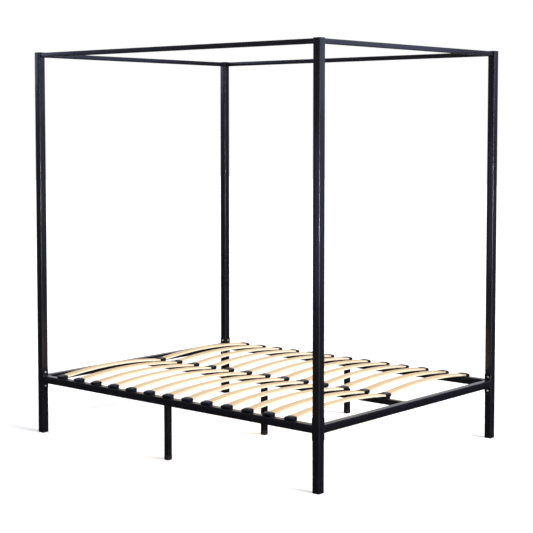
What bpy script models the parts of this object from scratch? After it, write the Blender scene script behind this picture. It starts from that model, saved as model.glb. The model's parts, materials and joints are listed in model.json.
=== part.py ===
"""Four poster canopy bed frame with a double row of sprung slats.

Metres, +Z up.  X runs across the bed, Y along it (foot end at -Y, head end
at +Y), and the origin lies on the floor under the middle of the bed.
"""
import math

import bmesh
import bpy
from mathutils import Vector

# ----------------------------------------------------------------------------
# Driving dimensions
# ----------------------------------------------------------------------------
BED_WIDTH = 1.610            # outside face to outside face of the posts, X
BED_LENGTH = 2.090           # outside face to outside face of the posts, Y
BED_HEIGHT = 2.200           # floor to the top of the post caps

TOUCH = 0.0003               # gap kept between pieces that bear on each other

POST_SIDE = 0.042            # square tube of the corner posts
POST_WALL = 0.0015
POST_CORNER = 0.003

BASE_RAIL_SIDE = 0.040       # square tube of the four rails of the bed base
BASE_RAIL_WALL = 0.0015
BASE_RAIL_CORNER = 0.003
BASE_RAIL_UNDERSIDE = 0.294  # height of the underside of all base tubes

PLATE_INSET = 0.002          # flange plate on a rail's end, narrower by this
PLATE_OVERHANG = 0.036       # the plate stands this far above and below
PLATE_THICKNESS = 0.003
PLATE_RECESS = 0.0005        # the tube stops this short of the plate's face
BOLT_OVERHANG = 0.0195       # bolt centres, above and below the tube
BOLT_HEAD_RADIUS = 0.0062
BOLT_HEAD_HEIGHT = 0.0042

CANOPY_RAIL_SIDE = 0.025     # square tube of the four rails of the canopy
CANOPY_RAIL_WALL = 0.0015
CANOPY_RAIL_CORNER = 0.002

CENTRE_RAIL_SIDE = 0.030     # square tube under the middle of the slats
CENTRE_RAIL_WALL = 0.0015
CENTRE_RAIL_CORNER = 0.002

LEG_SIDE = 0.030             # square tube of the three legs at mid length
LEG_WALL = 0.0015
LEG_CORNER = 0.002

TONGUE_SIDE = 0.014          # square tongue on a closed tube end
TONGUE_BORE = 0.009
TONGUE_CORNER = 0.0015
TONGUE_REACH = 0.0055        # how far a tongue stands out of its tube end
TONGUE_CLEARANCE = 0.0003    # all round, in the slot punched for it
END_THICKNESS = 0.002        # closed end of a tube that has a tongue

CAP_THICKNESS = 0.003        # visible rim of a post's top cap
CAP_SPIGOT = 0.004           # part of the cap that reaches into the tube
FOOT_THICKNESS = 0.004       # visible rim of a post's foot plug
FOOT_SPIGOT = 0.018
LEG_FOOT_HEIGHT = 0.024      # visible block of a mid leg's foot
LEG_FOOT_OVERSIZE = 0.0006   # the block stands proud of the tube all round
LEG_FOOT_SPIGOT = 0.016
PLUG_CLEARANCE = 0.0003      # spigot to tube wall, all round

SLAT_PAIRS = 13
SLAT_WIDTH = 0.053
SLAT_THICKNESS = 0.010
SLAT_ARCH = 0.026            # rise of the middle over the ends
SLAT_STEPS = 12
FIRST_SLAT_INSET = 0.1535    # post's inner face to the first slat's centre line

POCKET_WALL = 0.0022         # top and cheeks of a slat holder
POCKET_CROWN = 0.0025        # rise of the top's middle over its two sides
POCKET_SHOULDER = 0.003      # how far the top rounds down at its two sides
POCKET_BACK = 0.0026         # closed end of a slat holder
POCKET_FLOOR = 0.0022        # under the slat, on the outer rails
POCKET_DEPTH = 0.032         # along the slat, on the outer rails
POCKET_CLEARANCE = 0.0003    # slat to holder, all round
MIDDLE_POCKET_DEPTH = 0.046  # both mouths together, on the centre rail
MIDDLE_WEB = 0.003           # web between the two mouths
MIDDLE_STEM = 0.028          # width of the holder's stem on the centre rail
STRIP_WIDTH = 0.012          # strip that ties the holders of one rail together
STRIP_THICKNESS = 0.0016

# ----------------------------------------------------------------------------
# Derived places
# ----------------------------------------------------------------------------
# The rails' outer faces give the overall size.  Posts stand flush with them,
# or are set in by as much as a rail is wider than a post, so that rails meet
# no other rail at a corner.  Flange plates and bolts follow the rail.
POST_SET_IN = max(0.0, BASE_RAIL_SIDE - POST_SIDE)
PLATE_WIDTH = BASE_RAIL_SIDE - PLATE_INSET
PLATE_HEIGHT = BASE_RAIL_SIDE + 2 * PLATE_OVERHANG
BOLT_SPACING = BASE_RAIL_SIDE + 2 * BOLT_OVERHANG

HALF_W = BED_WIDTH / 2
HALF_L = BED_LENGTH / 2
POST_X = HALF_W - POST_SET_IN - POST_SIDE / 2
POST_Y = HALF_L - POST_SET_IN - POST_SIDE / 2
POST_TOP = BED_HEIGHT - CAP_THICKNESS - TOUCH
POST_FOOT = FOOT_THICKNESS + TOUCH

INNER_X = HALF_W - POST_SET_IN - POST_SIDE    # inner faces of the posts
INNER_Y = HALF_L - POST_SET_IN - POST_SIDE

BASE_RAIL_Z = BASE_RAIL_UNDERSIDE + BASE_RAIL_SIDE / 2
BASE_RAIL_TOP = BASE_RAIL_UNDERSIDE + BASE_RAIL_SIDE
SIDE_RAIL_X = HALF_W - BASE_RAIL_SIDE / 2
END_RAIL_Y = HALF_L - BASE_RAIL_SIDE / 2

CANOPY_Z = POST_TOP - CANOPY_RAIL_SIDE / 2

CENTRE_RAIL_Z = BASE_RAIL_UNDERSIDE + CENTRE_RAIL_SIDE / 2
CENTRE_RAIL_TOP = BASE_RAIL_UNDERSIDE + CENTRE_RAIL_SIDE
CENTRE_RAIL_HALF = HALF_L - BASE_RAIL_SIDE - TOUCH

LEG_TOP = BASE_RAIL_UNDERSIDE - TOUCH
LEG_BOTTOM = LEG_FOOT_HEIGHT + TOUCH

# The outer holders are central on their rails.  An arched slat's end face
# leans out by END_LEAN at its top, so its lower edge stops that much earlier.
END_LEAN = SLAT_THICKNESS * 4 * SLAT_ARCH / SIDE_RAIL_X
SLAT_OUTER_X = (SIDE_RAIL_X + POCKET_DEPTH / 2 - POCKET_BACK
                - POCKET_CLEARANCE - END_LEAN)
SLAT_INNER_X = MIDDLE_WEB / 2 + POCKET_CLEARANCE + END_LEAN
SLAT_END_Z = BASE_RAIL_TOP + TOUCH + POCKET_FLOOR + POCKET_CLEARANCE
SLAT_LENGTH = SLAT_OUTER_X - SLAT_INNER_X
FIRST_SLAT_Y = -(INNER_Y - FIRST_SLAT_INSET)
SLAT_PITCH = -2 * FIRST_SLAT_Y / (SLAT_PAIRS - 1)
SLAT_YS = [FIRST_SLAT_Y + i * SLAT_PITCH for i in range(SLAT_PAIRS)]

# ----------------------------------------------------------------------------
# Scene and materials
# ----------------------------------------------------------------------------
for old in list(bpy.data.objects):
    bpy.data.objects.remove(old, do_unlink=True)

scene_root = bpy.context.scene.collection


def principled(name, colour, roughness, metallic):
    """Make a plain Principled material."""
    material = bpy.data.materials.new(name)
    material.use_nodes = True
    shader = material.node_tree.nodes["Principled BSDF"]
    shader.inputs["Base Color"].default_value = (*colour, 1.0)
    shader.inputs["Roughness"].default_value = roughness
    shader.inputs["Metallic"].default_value = metallic
    material.diffuse_color = (*colour, 1.0)
    return material


POST_COAT = principled("post_coat", (0.012, 0.012, 0.016), 0.42, 0.1)
CANOPY_COAT = principled("canopy_coat", (0.012, 0.012, 0.016), 0.42, 0.1)
RAIL_COAT = principled("rail_coat", (0.011, 0.011, 0.014), 0.42, 0.1)
CENTRE_COAT = principled("centre_coat", (0.011, 0.011, 0.014), 0.45, 0.1)
LEG_COAT = principled("leg_coat", (0.011, 0.011, 0.014), 0.45, 0.1)
SLAT_WOOD = principled("slat_wood", (0.82, 0.62, 0.40), 0.45, 0.0)
HOLDER_PLASTIC = principled("holder_plastic", (0.012, 0.013, 0.020), 0.30, 0.0)
CAP_PLASTIC = principled("cap_plastic", (0.014, 0.014, 0.018), 0.45, 0.0)
FOOT_PLASTIC = principled("foot_plastic", (0.020, 0.021, 0.024), 0.55, 0.0)


# ----------------------------------------------------------------------------
# Shapes
# ----------------------------------------------------------------------------
def rounded_rectangle(width, height, radius, steps=3):
    """Corner-rounded rectangle about the origin, counter-clockwise."""
    points = []
    for corner in range(4):
        sx = 1 if corner in (0, 3) else -1
        sy = 1 if corner in (0, 1) else -1
        cx, cy = sx * (width / 2 - radius), sy * (height / 2 - radius)
        for step in range(steps + 1):
            angle = math.pi / 2 * (corner + step / steps)
            points.append((cx + radius * math.cos(angle),
                           cy + radius * math.sin(angle)))
    return points


def square(side, radius):
    """Corner-rounded square."""
    return rounded_rectangle(side, side, radius)


def at_height(profile, z):
    """Lift a flat profile to a height along the piece's own axis."""
    return [Vector((x, y, z)) for x, y in profile]


def new_object(name, bm, material=None, location=(0, 0, 0), rotation=(0, 0, 0)):
    """Turn a bmesh into an object whose faces point out."""
    bmesh.ops.recalc_face_normals(bm, faces=bm.faces[:])
    mesh = bpy.data.meshes.new(name)
    bm.to_mesh(mesh)
    bm.free()
    if material is not None:
        mesh.materials.append(material)
    item = bpy.data.objects.new(name, mesh)
    item.location = location
    item.rotation_euler = rotation
    scene_root.objects.link(item)
    return item


def add_loft(bm, loops, ring):
    """Skin equal loops in order; a ring joins the last loop to the first."""
    rows = [[bm.verts.new(point) for point in loop] for loop in loops]
    count = len(rows[0])
    pairs = list(zip(rows, rows[1:]))
    if ring:
        pairs.append((rows[-1], rows[0]))
    for low, high in pairs:
        for i in range(count):
            j = (i + 1) % count
            bm.faces.new((low[i], low[j], high[j], high[i]))
    if not ring:
        bm.faces.new(list(reversed(rows[0])))
        bm.faces.new(rows[-1])


def lofted(name, loops, ring=False, **place):
    """One lofted solid as an object."""
    bm = bmesh.new()
    add_loft(bm, loops, ring)
    return new_object(name, bm, **place)


def guide(item):
    """Mark an object as a helper that isn't a piece of the bed."""
    item.hide_render = True
    item.display_type = "WIRE"
    return item


def boolean(item, helper, operation):
    """Add one exact Boolean step to an object."""
    step = item.modifiers.new(operation.lower() + "_" + helper.name, "BOOLEAN")
    step.operation = operation
    step.solver = "EXACT"
    step.object = helper


# A rail's own axis is local Z; local X points down once it is laid flat.
ALONG_X = (0.0, math.pi / 2, 0.0)
ALONG_Y = (0.0, math.pi / 2, math.pi / 2)
UPRIGHT = (0.0, 0.0, 0.0)


def slot_cutter(name, location, rotation, length):
    """Square cutter for the slot that a tongue pushes into."""
    side = TONGUE_SIDE + 2 * TONGUE_CLEARANCE
    profile = square(side, TONGUE_CORNER + TONGUE_CLEARANCE)
    return guide(lofted(name, [at_height(profile, -length / 2),
                               at_height(profile, length / 2)],
                        location=location, rotation=rotation))


def tube_loops(side, wall, corner, start, end):
    """Loops of an open square tube, from start to end along its axis."""
    outer = square(side, corner)
    inner = square(side - 2 * wall, max(corner - wall, 0.0005))
    return [at_height(outer, start), at_height(outer, end),
            at_height(inner, end), at_height(inner, start)]


def tongued_loops(side, wall, corner, start, end, both):
    """Loops of a square tube closed at its end(s) by a bored tongue."""
    outer = square(side, corner)
    inner = square(side - 2 * wall, max(corner - wall, 0.0005))
    tongue = square(TONGUE_SIDE, TONGUE_CORNER)
    bore = square(TONGUE_BORE, TONGUE_CORNER / 2)
    loops = [at_height(outer, start), at_height(outer, end),
             at_height(tongue, end), at_height(tongue, end + TONGUE_REACH),
             at_height(bore, end + TONGUE_REACH),
             at_height(bore, end - END_THICKNESS),
             at_height(inner, end - END_THICKNESS)]
    if both:
        loops += [at_height(inner, start + END_THICKNESS),
                  at_height(bore, start + END_THICKNESS),
                  at_height(bore, start - TONGUE_REACH),
                  at_height(tongue, start - TONGUE_REACH),
                  at_height(tongue, start)]
    else:
        loops += [at_height(inner, start)]
    return loops


def plug_loops(rim_side, rim_corner, spigot_side, spigot_corner, rim, spigot):
    """Loops of a plug: a rim from 0 to rim, then a spigot above it."""
    edge = min(0.0012, rim / 3)
    soft = square(rim_side - 2 * edge, max(rim_corner - edge, 0.0006))
    outer = square(rim_side, rim_corner)
    inner = square(spigot_side, spigot_corner)
    return [at_height(soft, 0.0), at_height(outer, edge),
            at_height(outer, rim), at_height(inner, rim),
            at_height(inner, rim + spigot)]


# ----------------------------------------------------------------------------
# Posts with their caps and foot plugs
# ----------------------------------------------------------------------------
CORNERS = {
    "foot_left": (-1, -1), "foot_right": (1, -1),
    "head_left": (-1, 1), "head_right": (1, 1),
}
POST_INNER = POST_SIDE - 2 * POST_WALL
SPIGOT_SIDE = POST_INNER - 2 * PLUG_CLEARANCE
SPIGOT_CORNER = max(POST_CORNER - POST_WALL, 0.0005) + PLUG_CLEARANCE
SLOT_DEPTH = POST_WALL * 4

for corner_name, (sx, sy) in CORNERS.items():
    x, y = sx * POST_X, sy * POST_Y
    post = lofted("post_" + corner_name,
                  tube_loops(POST_SIDE, POST_WALL, POST_CORNER,
                             POST_FOOT, POST_TOP),
                  ring=True, material=POST_COAT, location=(x, y, 0.0))
    # Slots in the two inner faces take the canopy rails' tongues.
    boolean(post, slot_cutter("slot_x_" + corner_name,
                              (sx * INNER_X, y, CANOPY_Z),
                              ALONG_X, SLOT_DEPTH), "DIFFERENCE")
    boolean(post, slot_cutter("slot_y_" + corner_name,
                              (x, sy * INNER_Y, CANOPY_Z),
                              ALONG_Y, SLOT_DEPTH), "DIFFERENCE")
    lofted("post_cap_" + corner_name,
           plug_loops(POST_SIDE, POST_CORNER, SPIGOT_SIDE, SPIGOT_CORNER,
                      CAP_THICKNESS, CAP_SPIGOT),
           material=CAP_PLASTIC, location=(x, y, BED_HEIGHT),
           rotation=(math.pi, 0.0, 0.0))
    lofted("post_plug_" + corner_name,
           plug_loops(POST_SIDE, POST_CORNER, SPIGOT_SIDE, SPIGOT_CORNER,
                      FOOT_THICKNESS, FOOT_SPIGOT),
           material=FOOT_PLASTIC, location=(x, y, 0.0))

# ----------------------------------------------------------------------------
# Canopy rails, flush with the post tops and central on the posts
# ----------------------------------------------------------------------------
half_x = INNER_X - TOUCH
half_y = INNER_Y - TOUCH
CANOPY_RAILS = {
    "canopy_rail_left": ((-POST_X, 0.0, CANOPY_Z), ALONG_Y, half_y),
    "canopy_rail_right": ((POST_X, 0.0, CANOPY_Z), ALONG_Y, half_y),
    "canopy_rail_foot": ((0.0, -POST_Y, CANOPY_Z), ALONG_X, half_x),
    "canopy_rail_head": ((0.0, POST_Y, CANOPY_Z), ALONG_X, half_x),
}
for rail_name, (place, turn, half) in CANOPY_RAILS.items():
    lofted(rail_name,
           tongued_loops(CANOPY_RAIL_SIDE, CANOPY_RAIL_WALL,
                         CANOPY_RAIL_CORNER, -half, half, True),
           ring=True, material=CANOPY_COAT, location=place, rotation=turn)


# ----------------------------------------------------------------------------
# Base rails: a square tube with a flange plate at each end
# ----------------------------------------------------------------------------
def add_plate(bm, inner, outer):
    """Flange plate between two stations of the rail's axis."""
    profile = rounded_rectangle(PLATE_HEIGHT, PLATE_WIDTH, 0.004, steps=2)
    add_loft(bm, [at_height(profile, inner), at_height(profile, outer)], False)


def add_bolt_head(bm, x, face, outward):
    """Low domed bolt head that stands on a plate, sunk 1 mm into it."""
    sides = 14
    stations = [(-0.001, 1.0), (BOLT_HEAD_HEIGHT * 0.45, 1.0),
                (BOLT_HEAD_HEIGHT * 0.8, 0.78), (BOLT_HEAD_HEIGHT, 0.42)]
    loops = []
    for rise, share in stations:
        radius = BOLT_HEAD_RADIUS * share
        loops.append([Vector((x + radius * math.cos(2 * math.pi * i / sides),
                              radius * math.sin(2 * math.pi * i / sides),
                              face + outward * rise))
                      for i in range(sides)])
    add_loft(bm, loops, False)


def base_rail(name, place, turn, half):
    """Rail whose plates' outer faces lie at plus and minus half."""
    tube = square(BASE_RAIL_SIDE, BASE_RAIL_CORNER)
    end = half - PLATE_RECESS
    rail = lofted(name, [at_height(tube, -end), at_height(tube, end)],
                  material=RAIL_COAT, location=place, rotation=turn)

    plates = bmesh.new()
    heads = bmesh.new()
    for sign in (-1, 1):
        inner = sign * (half - PLATE_THICKNESS)
        add_plate(plates, inner, sign * half)
        for side in (-1, 1):
            add_bolt_head(heads, side * BOLT_SPACING / 2, inner, -sign)
    place_it = dict(location=place, rotation=turn)
    boolean(rail, guide(new_object(name + "_plates", plates, **place_it)),
            "UNION")
    boolean(rail, guide(new_object(name + "_bolt_heads", heads, **place_it)),
            "UNION")

    inner_side = BASE_RAIL_SIDE - 2 * BASE_RAIL_WALL
    bore = square(inner_side, max(BASE_RAIL_CORNER - BASE_RAIL_WALL, 0.0005))
    boolean(rail, guide(lofted(name + "_bore",
                               [at_height(bore, -half - 0.002),
                                at_height(bore, half + 0.002)],
                               **place_it)), "DIFFERENCE")
    return rail


side_left = base_rail("side_rail_left", (-SIDE_RAIL_X, 0.0, BASE_RAIL_Z),
                      ALONG_Y, half_y)
side_right = base_rail("side_rail_right", (SIDE_RAIL_X, 0.0, BASE_RAIL_Z),
                       ALONG_Y, half_y)
foot_rail = base_rail("foot_rail", (0.0, -END_RAIL_Y, BASE_RAIL_Z),
                      ALONG_X, half_x)
head_rail = base_rail("head_rail", (0.0, END_RAIL_Y, BASE_RAIL_Z),
                      ALONG_X, half_x)

# Slots for the mid legs' tongues, and for the centre rail's.
RAIL_SLOT = BASE_RAIL_WALL * 4
for rail, sign in ((side_left, -1), (side_right, 1)):
    boolean(rail, slot_cutter(rail.name + "_leg_slot",
                              (sign * SIDE_RAIL_X, 0.0, BASE_RAIL_UNDERSIDE),
                              UPRIGHT, RAIL_SLOT), "DIFFERENCE")
for rail, sign in ((foot_rail, -1), (head_rail, 1)):
    boolean(rail, slot_cutter(rail.name + "_centre_slot",
                              (0.0, sign * (HALF_L - BASE_RAIL_SIDE),
                               CENTRE_RAIL_Z),
                              ALONG_Y, RAIL_SLOT), "DIFFERENCE")

centre_rail = lofted("centre_rail",
                     tongued_loops(CENTRE_RAIL_SIDE, CENTRE_RAIL_WALL,
                                   CENTRE_RAIL_CORNER, -CENTRE_RAIL_HALF,
                                   CENTRE_RAIL_HALF, True),
                     ring=True, material=CENTRE_COAT,
                     location=(0.0, 0.0, CENTRE_RAIL_Z), rotation=ALONG_Y)
boolean(centre_rail, slot_cutter("centre_rail_leg_slot",
                                 (0.0, 0.0, BASE_RAIL_UNDERSIDE),
                                 UPRIGHT, CENTRE_RAIL_WALL * 4), "DIFFERENCE")

# ----------------------------------------------------------------------------
# Mid legs and their feet
# ----------------------------------------------------------------------------
LEG_INNER = LEG_SIDE - 2 * LEG_WALL
for leg_name, x in (("left", -SIDE_RAIL_X), ("middle", 0.0),
                    ("right", SIDE_RAIL_X)):
    lofted("mid_leg_" + leg_name,
           tongued_loops(LEG_SIDE, LEG_WALL, LEG_CORNER,
                         LEG_BOTTOM, LEG_TOP, False),
           ring=True, material=LEG_COAT, location=(x, 0.0, 0.0))
    lofted("mid_leg_foot_" + leg_name,
           plug_loops(LEG_SIDE + 2 * LEG_FOOT_OVERSIZE,
                      LEG_CORNER + LEG_FOOT_OVERSIZE,
                      LEG_INNER - 2 * PLUG_CLEARANCE,
                      max(LEG_CORNER - LEG_WALL, 0.0005) + PLUG_CLEARANCE,
                      LEG_FOOT_HEIGHT, LEG_FOOT_SPIGOT),
           material=FOOT_PLASTIC, location=(x, 0.0, 0.0))

# ----------------------------------------------------------------------------
# Slats: a flat strip bent to a circular arch
# ----------------------------------------------------------------------------
ARCH_RADIUS = (SLAT_LENGTH ** 2 / 4 + SLAT_ARCH ** 2) / (2 * SLAT_ARCH)
ARCH_HALF_ANGLE = math.asin(SLAT_LENGTH / 2 / ARCH_RADIUS)
SLAT_MIDDLE_X = (SLAT_OUTER_X + SLAT_INNER_X) / 2


def arch_point(angle, lift):
    """Point over the arch's underside, from its middle, in X and Z."""
    radius = ARCH_RADIUS + lift
    return (radius * math.sin(angle),
            SLAT_END_Z + SLAT_ARCH - ARCH_RADIUS + radius * math.cos(angle))


def slat_loops():
    """Cross sections of one slat about its own middle."""
    loops = []
    for step in range(SLAT_STEPS + 1):
        angle = ARCH_HALF_ANGLE * (2 * step / SLAT_STEPS - 1)
        low_x, low_z = arch_point(angle, 0.0)
        top_x, top_z = arch_point(angle, SLAT_THICKNESS)
        half = SLAT_WIDTH / 2
        loops.append([Vector((low_x, -half, low_z)), Vector((low_x, half, low_z)),
                      Vector((top_x, half, top_z)), Vector((top_x, -half, top_z))])
    return loops


for number, y in enumerate(SLAT_YS, start=1):
    for column, sign in (("left", -1), ("right", 1)):
        lofted("slat_%s_%02d" % (column, number), slat_loops(),
               material=SLAT_WOOD, location=(sign * SLAT_MIDDLE_X, y, 0.0))

# ----------------------------------------------------------------------------
# Slat holders.  Their mouths follow the first flat of the slat's arch.
# ----------------------------------------------------------------------------
END_ANGLE = ARCH_HALF_ANGLE * (1 - 2 / SLAT_STEPS)
LOW_END = arch_point(ARCH_HALF_ANGLE, 0.0)
LOW_NEXT = arch_point(END_ANGLE, 0.0)
TOP_END = arch_point(ARCH_HALF_ANGLE, SLAT_THICKNESS)
TOP_NEXT = arch_point(END_ANGLE, SLAT_THICKNESS)
SLOPE = (LOW_NEXT[1] - LOW_END[1]) / (LOW_END[0] - LOW_NEXT[0])
POCKET_HALF_WIDTH = SLAT_WIDTH / 2 + POCKET_CLEARANCE + POCKET_WALL


def slat_line(distance, lift):
    """Height of the slat's first flat, inward of its end, plus a lift."""
    return LOW_END[1] + SLOPE * distance + lift * math.hypot(1.0, SLOPE)


def add_box_loft(bm, outline, half_width, y):
    """Solid with an XZ outline and a width along Y."""
    low = [Vector((x, y - half_width, z)) for x, z in outline]
    high = [Vector((x, y + half_width, z)) for x, z in outline]
    add_loft(bm, [low, high], False)


def roof_rise(share):
    """Rise of a holder's top; share is 0 in the middle and 1 at a side."""
    fall = max(0.0, (share - 0.86) / 0.14)
    return POCKET_CROWN * (1 - share ** 2) - POCKET_SHOULDER * fall ** 2


def add_roofed_loft(bm, outline, roof, half_width, y):
    """Solid with an XZ outline whose roof points rise in a crown along Y."""
    loops = []
    for share in (-1.0, -0.95, -0.86, -0.5, 0.0, 0.5, 0.86, 0.95, 1.0):
        rise = roof_rise(abs(share))
        loops.append([Vector((x, y + share * half_width,
                              z + (rise if index in roof else 0.0)))
                      for index, (x, z) in enumerate(outline)])
    add_loft(bm, loops, False)


def mouth_outline(end_x, inward, mouth):
    """Outline of the space a slat end needs; inward is -1 or +1 along X."""
    gap = POCKET_CLEARANCE
    back = -(gap + END_LEAN)
    return [(end_x + inward * back, slat_line(back, -gap)),
            (end_x + inward * mouth, slat_line(mouth, -gap)),
            (end_x + inward * mouth, slat_line(mouth, SLAT_THICKNESS + gap)),
            (end_x + inward * back, slat_line(back, SLAT_THICKNESS + gap))]


def holder_row(name, block, roof, mouths, strip_x, strip_floor):
    """All the holders of one rail, tied by a thin strip under them."""
    row = bmesh.new()
    half = STRIP_WIDTH / 2
    reach = -FIRST_SLAT_Y
    add_box_loft(row, [(strip_x - half, strip_floor),
                       (strip_x + half, strip_floor),
                       (strip_x + half, strip_floor + STRIP_THICKNESS),
                       (strip_x - half, strip_floor + STRIP_THICKNESS)],
                 reach, 0.0)
    item = new_object(name, row, material=HOLDER_PLASTIC)
    solid, hollow = bmesh.new(), bmesh.new()
    for y in SLAT_YS:
        add_roofed_loft(solid, block, roof, POCKET_HALF_WIDTH, y)
        for outline in mouths:
            add_box_loft(hollow, outline, POCKET_HALF_WIDTH - POCKET_WALL, y)
    boolean(item, guide(new_object(name + "_blocks", solid)), "UNION")
    boolean(item, guide(new_object(name + "_mouths", hollow)), "DIFFERENCE")
    return item


for column, sign in (("left", -1), ("right", 1)):
    floor = BASE_RAIL_TOP + TOUCH
    end_x = sign * SLAT_OUTER_X
    back_x = sign * (SIDE_RAIL_X + POCKET_DEPTH / 2)
    mouth_x = sign * (SIDE_RAIL_X - POCKET_DEPTH / 2)
    cover = SLAT_THICKNESS + POCKET_CLEARANCE + POCKET_WALL
    back_run = -(POCKET_BACK + POCKET_CLEARANCE + END_LEAN)
    soft = 0.003
    block = [(back_x, floor), (mouth_x, floor),
             (mouth_x, slat_line(back_run + POCKET_DEPTH, cover)),
             (back_x - sign * soft, slat_line(back_run + soft, cover)),
             (back_x, slat_line(back_run, cover) - soft)]
    mouths = [mouth_outline(end_x, -sign, POCKET_DEPTH + 0.002)]
    holder_row("slat_holders_" + column, block, (2, 3, 4), mouths,
               sign * SIDE_RAIL_X, floor)

floor = CENTRE_RAIL_TOP + TOUCH
half = MIDDLE_POCKET_DEPTH / 2
run = half - SLAT_INNER_X
cover = SLAT_THICKNESS + POCKET_CLEARANCE + POCKET_WALL
under = SLAT_END_Z - POCKET_CLEARANCE - POCKET_FLOOR
stem = MIDDLE_STEM / 2
middle_block = [(-stem, floor), (stem, floor), (stem, under), (half, under),
                (half, slat_line(run, cover)),
                (0.0, slat_line(-SLAT_INNER_X, cover)),
                (-half, slat_line(run, cover)), (-half, under), (-stem, under)]
holder_row("slat_holders_middle", middle_block, (4, 5, 6),
           [mouth_outline(SLAT_INNER_X, 1, half + 0.002),
            mouth_outline(-SLAT_INNER_X, -1, half + 0.002)],
           0.0, floor)
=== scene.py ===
"""Finished looks of a black metal four poster canopy bed with sprung slats.

The frame stands on its posts with Z up, X across the bed and Y along it,
foot end at -Y.  Every size is in metres.
"""
import json
import logging
import math
from dataclasses import dataclass
from enum import Enum
from typing import Dict, Iterable, List, Optional, Sequence, Tuple, Union

import bmesh
import bpy
import numpy as np
from mathutils import Matrix, Vector

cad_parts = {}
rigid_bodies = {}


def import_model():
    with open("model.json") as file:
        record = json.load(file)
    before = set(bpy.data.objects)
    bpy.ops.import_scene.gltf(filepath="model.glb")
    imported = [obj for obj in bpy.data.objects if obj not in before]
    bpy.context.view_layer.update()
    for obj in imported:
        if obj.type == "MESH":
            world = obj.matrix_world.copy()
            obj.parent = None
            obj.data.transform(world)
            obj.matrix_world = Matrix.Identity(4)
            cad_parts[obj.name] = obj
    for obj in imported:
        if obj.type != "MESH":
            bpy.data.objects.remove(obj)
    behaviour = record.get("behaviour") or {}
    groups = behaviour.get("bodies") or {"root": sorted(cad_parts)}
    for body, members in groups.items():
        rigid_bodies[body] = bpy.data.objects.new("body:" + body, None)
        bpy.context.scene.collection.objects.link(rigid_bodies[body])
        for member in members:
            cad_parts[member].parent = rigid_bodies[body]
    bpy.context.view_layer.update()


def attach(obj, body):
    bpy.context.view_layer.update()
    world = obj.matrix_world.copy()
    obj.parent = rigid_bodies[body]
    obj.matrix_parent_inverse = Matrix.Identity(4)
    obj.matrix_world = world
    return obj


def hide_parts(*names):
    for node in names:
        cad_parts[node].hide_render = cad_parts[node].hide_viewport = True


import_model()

Colour = Tuple[float, float, float]
Place = Tuple[float, float, float]
Pair = Tuple[float, float]
Loop = List[Vector]
Seat = Tuple[Vector, Vector]
BMesh = bmesh.types.BMesh
Material = bpy.types.Material
Object = bpy.types.Object
Socket = bpy.types.NodeSocket
Number = Union[float, Socket]

LOG = logging.getLogger("canopy_bed")

TOUCH = 0.0003          # left between pieces that bear on each other
CRISP = 32.0            # edges that turn more degrees than this stay crisp
CORNER_STEPS = 6        # segments in a rounded corner of a tube
DUST_COLOUR = (0.32, 0.31, 0.30)
BODY = "root"


class Run(Enum):
    """Way that a straight tube lies."""

    ACROSS = "x"
    ALONG = "y"
    UPRIGHT = "z"

    def turn(self) -> Matrix:
        """Rotation that takes a tube's own +Z to its run, its +X pointing down."""
        lay = Matrix.Rotation(math.pi / 2, 4, "Y")
        if self is Run.ACROSS:
            return lay
        if self is Run.ALONG:
            return Matrix.Rotation(math.pi / 2, 4, "Z") @ lay
        return Matrix.Identity(4)


class Wear(Enum):
    """How much handling a finish has had."""

    NONE = 0.0
    NEW = 0.15
    LIGHT = 0.45
    FLOOR = 0.9


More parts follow.
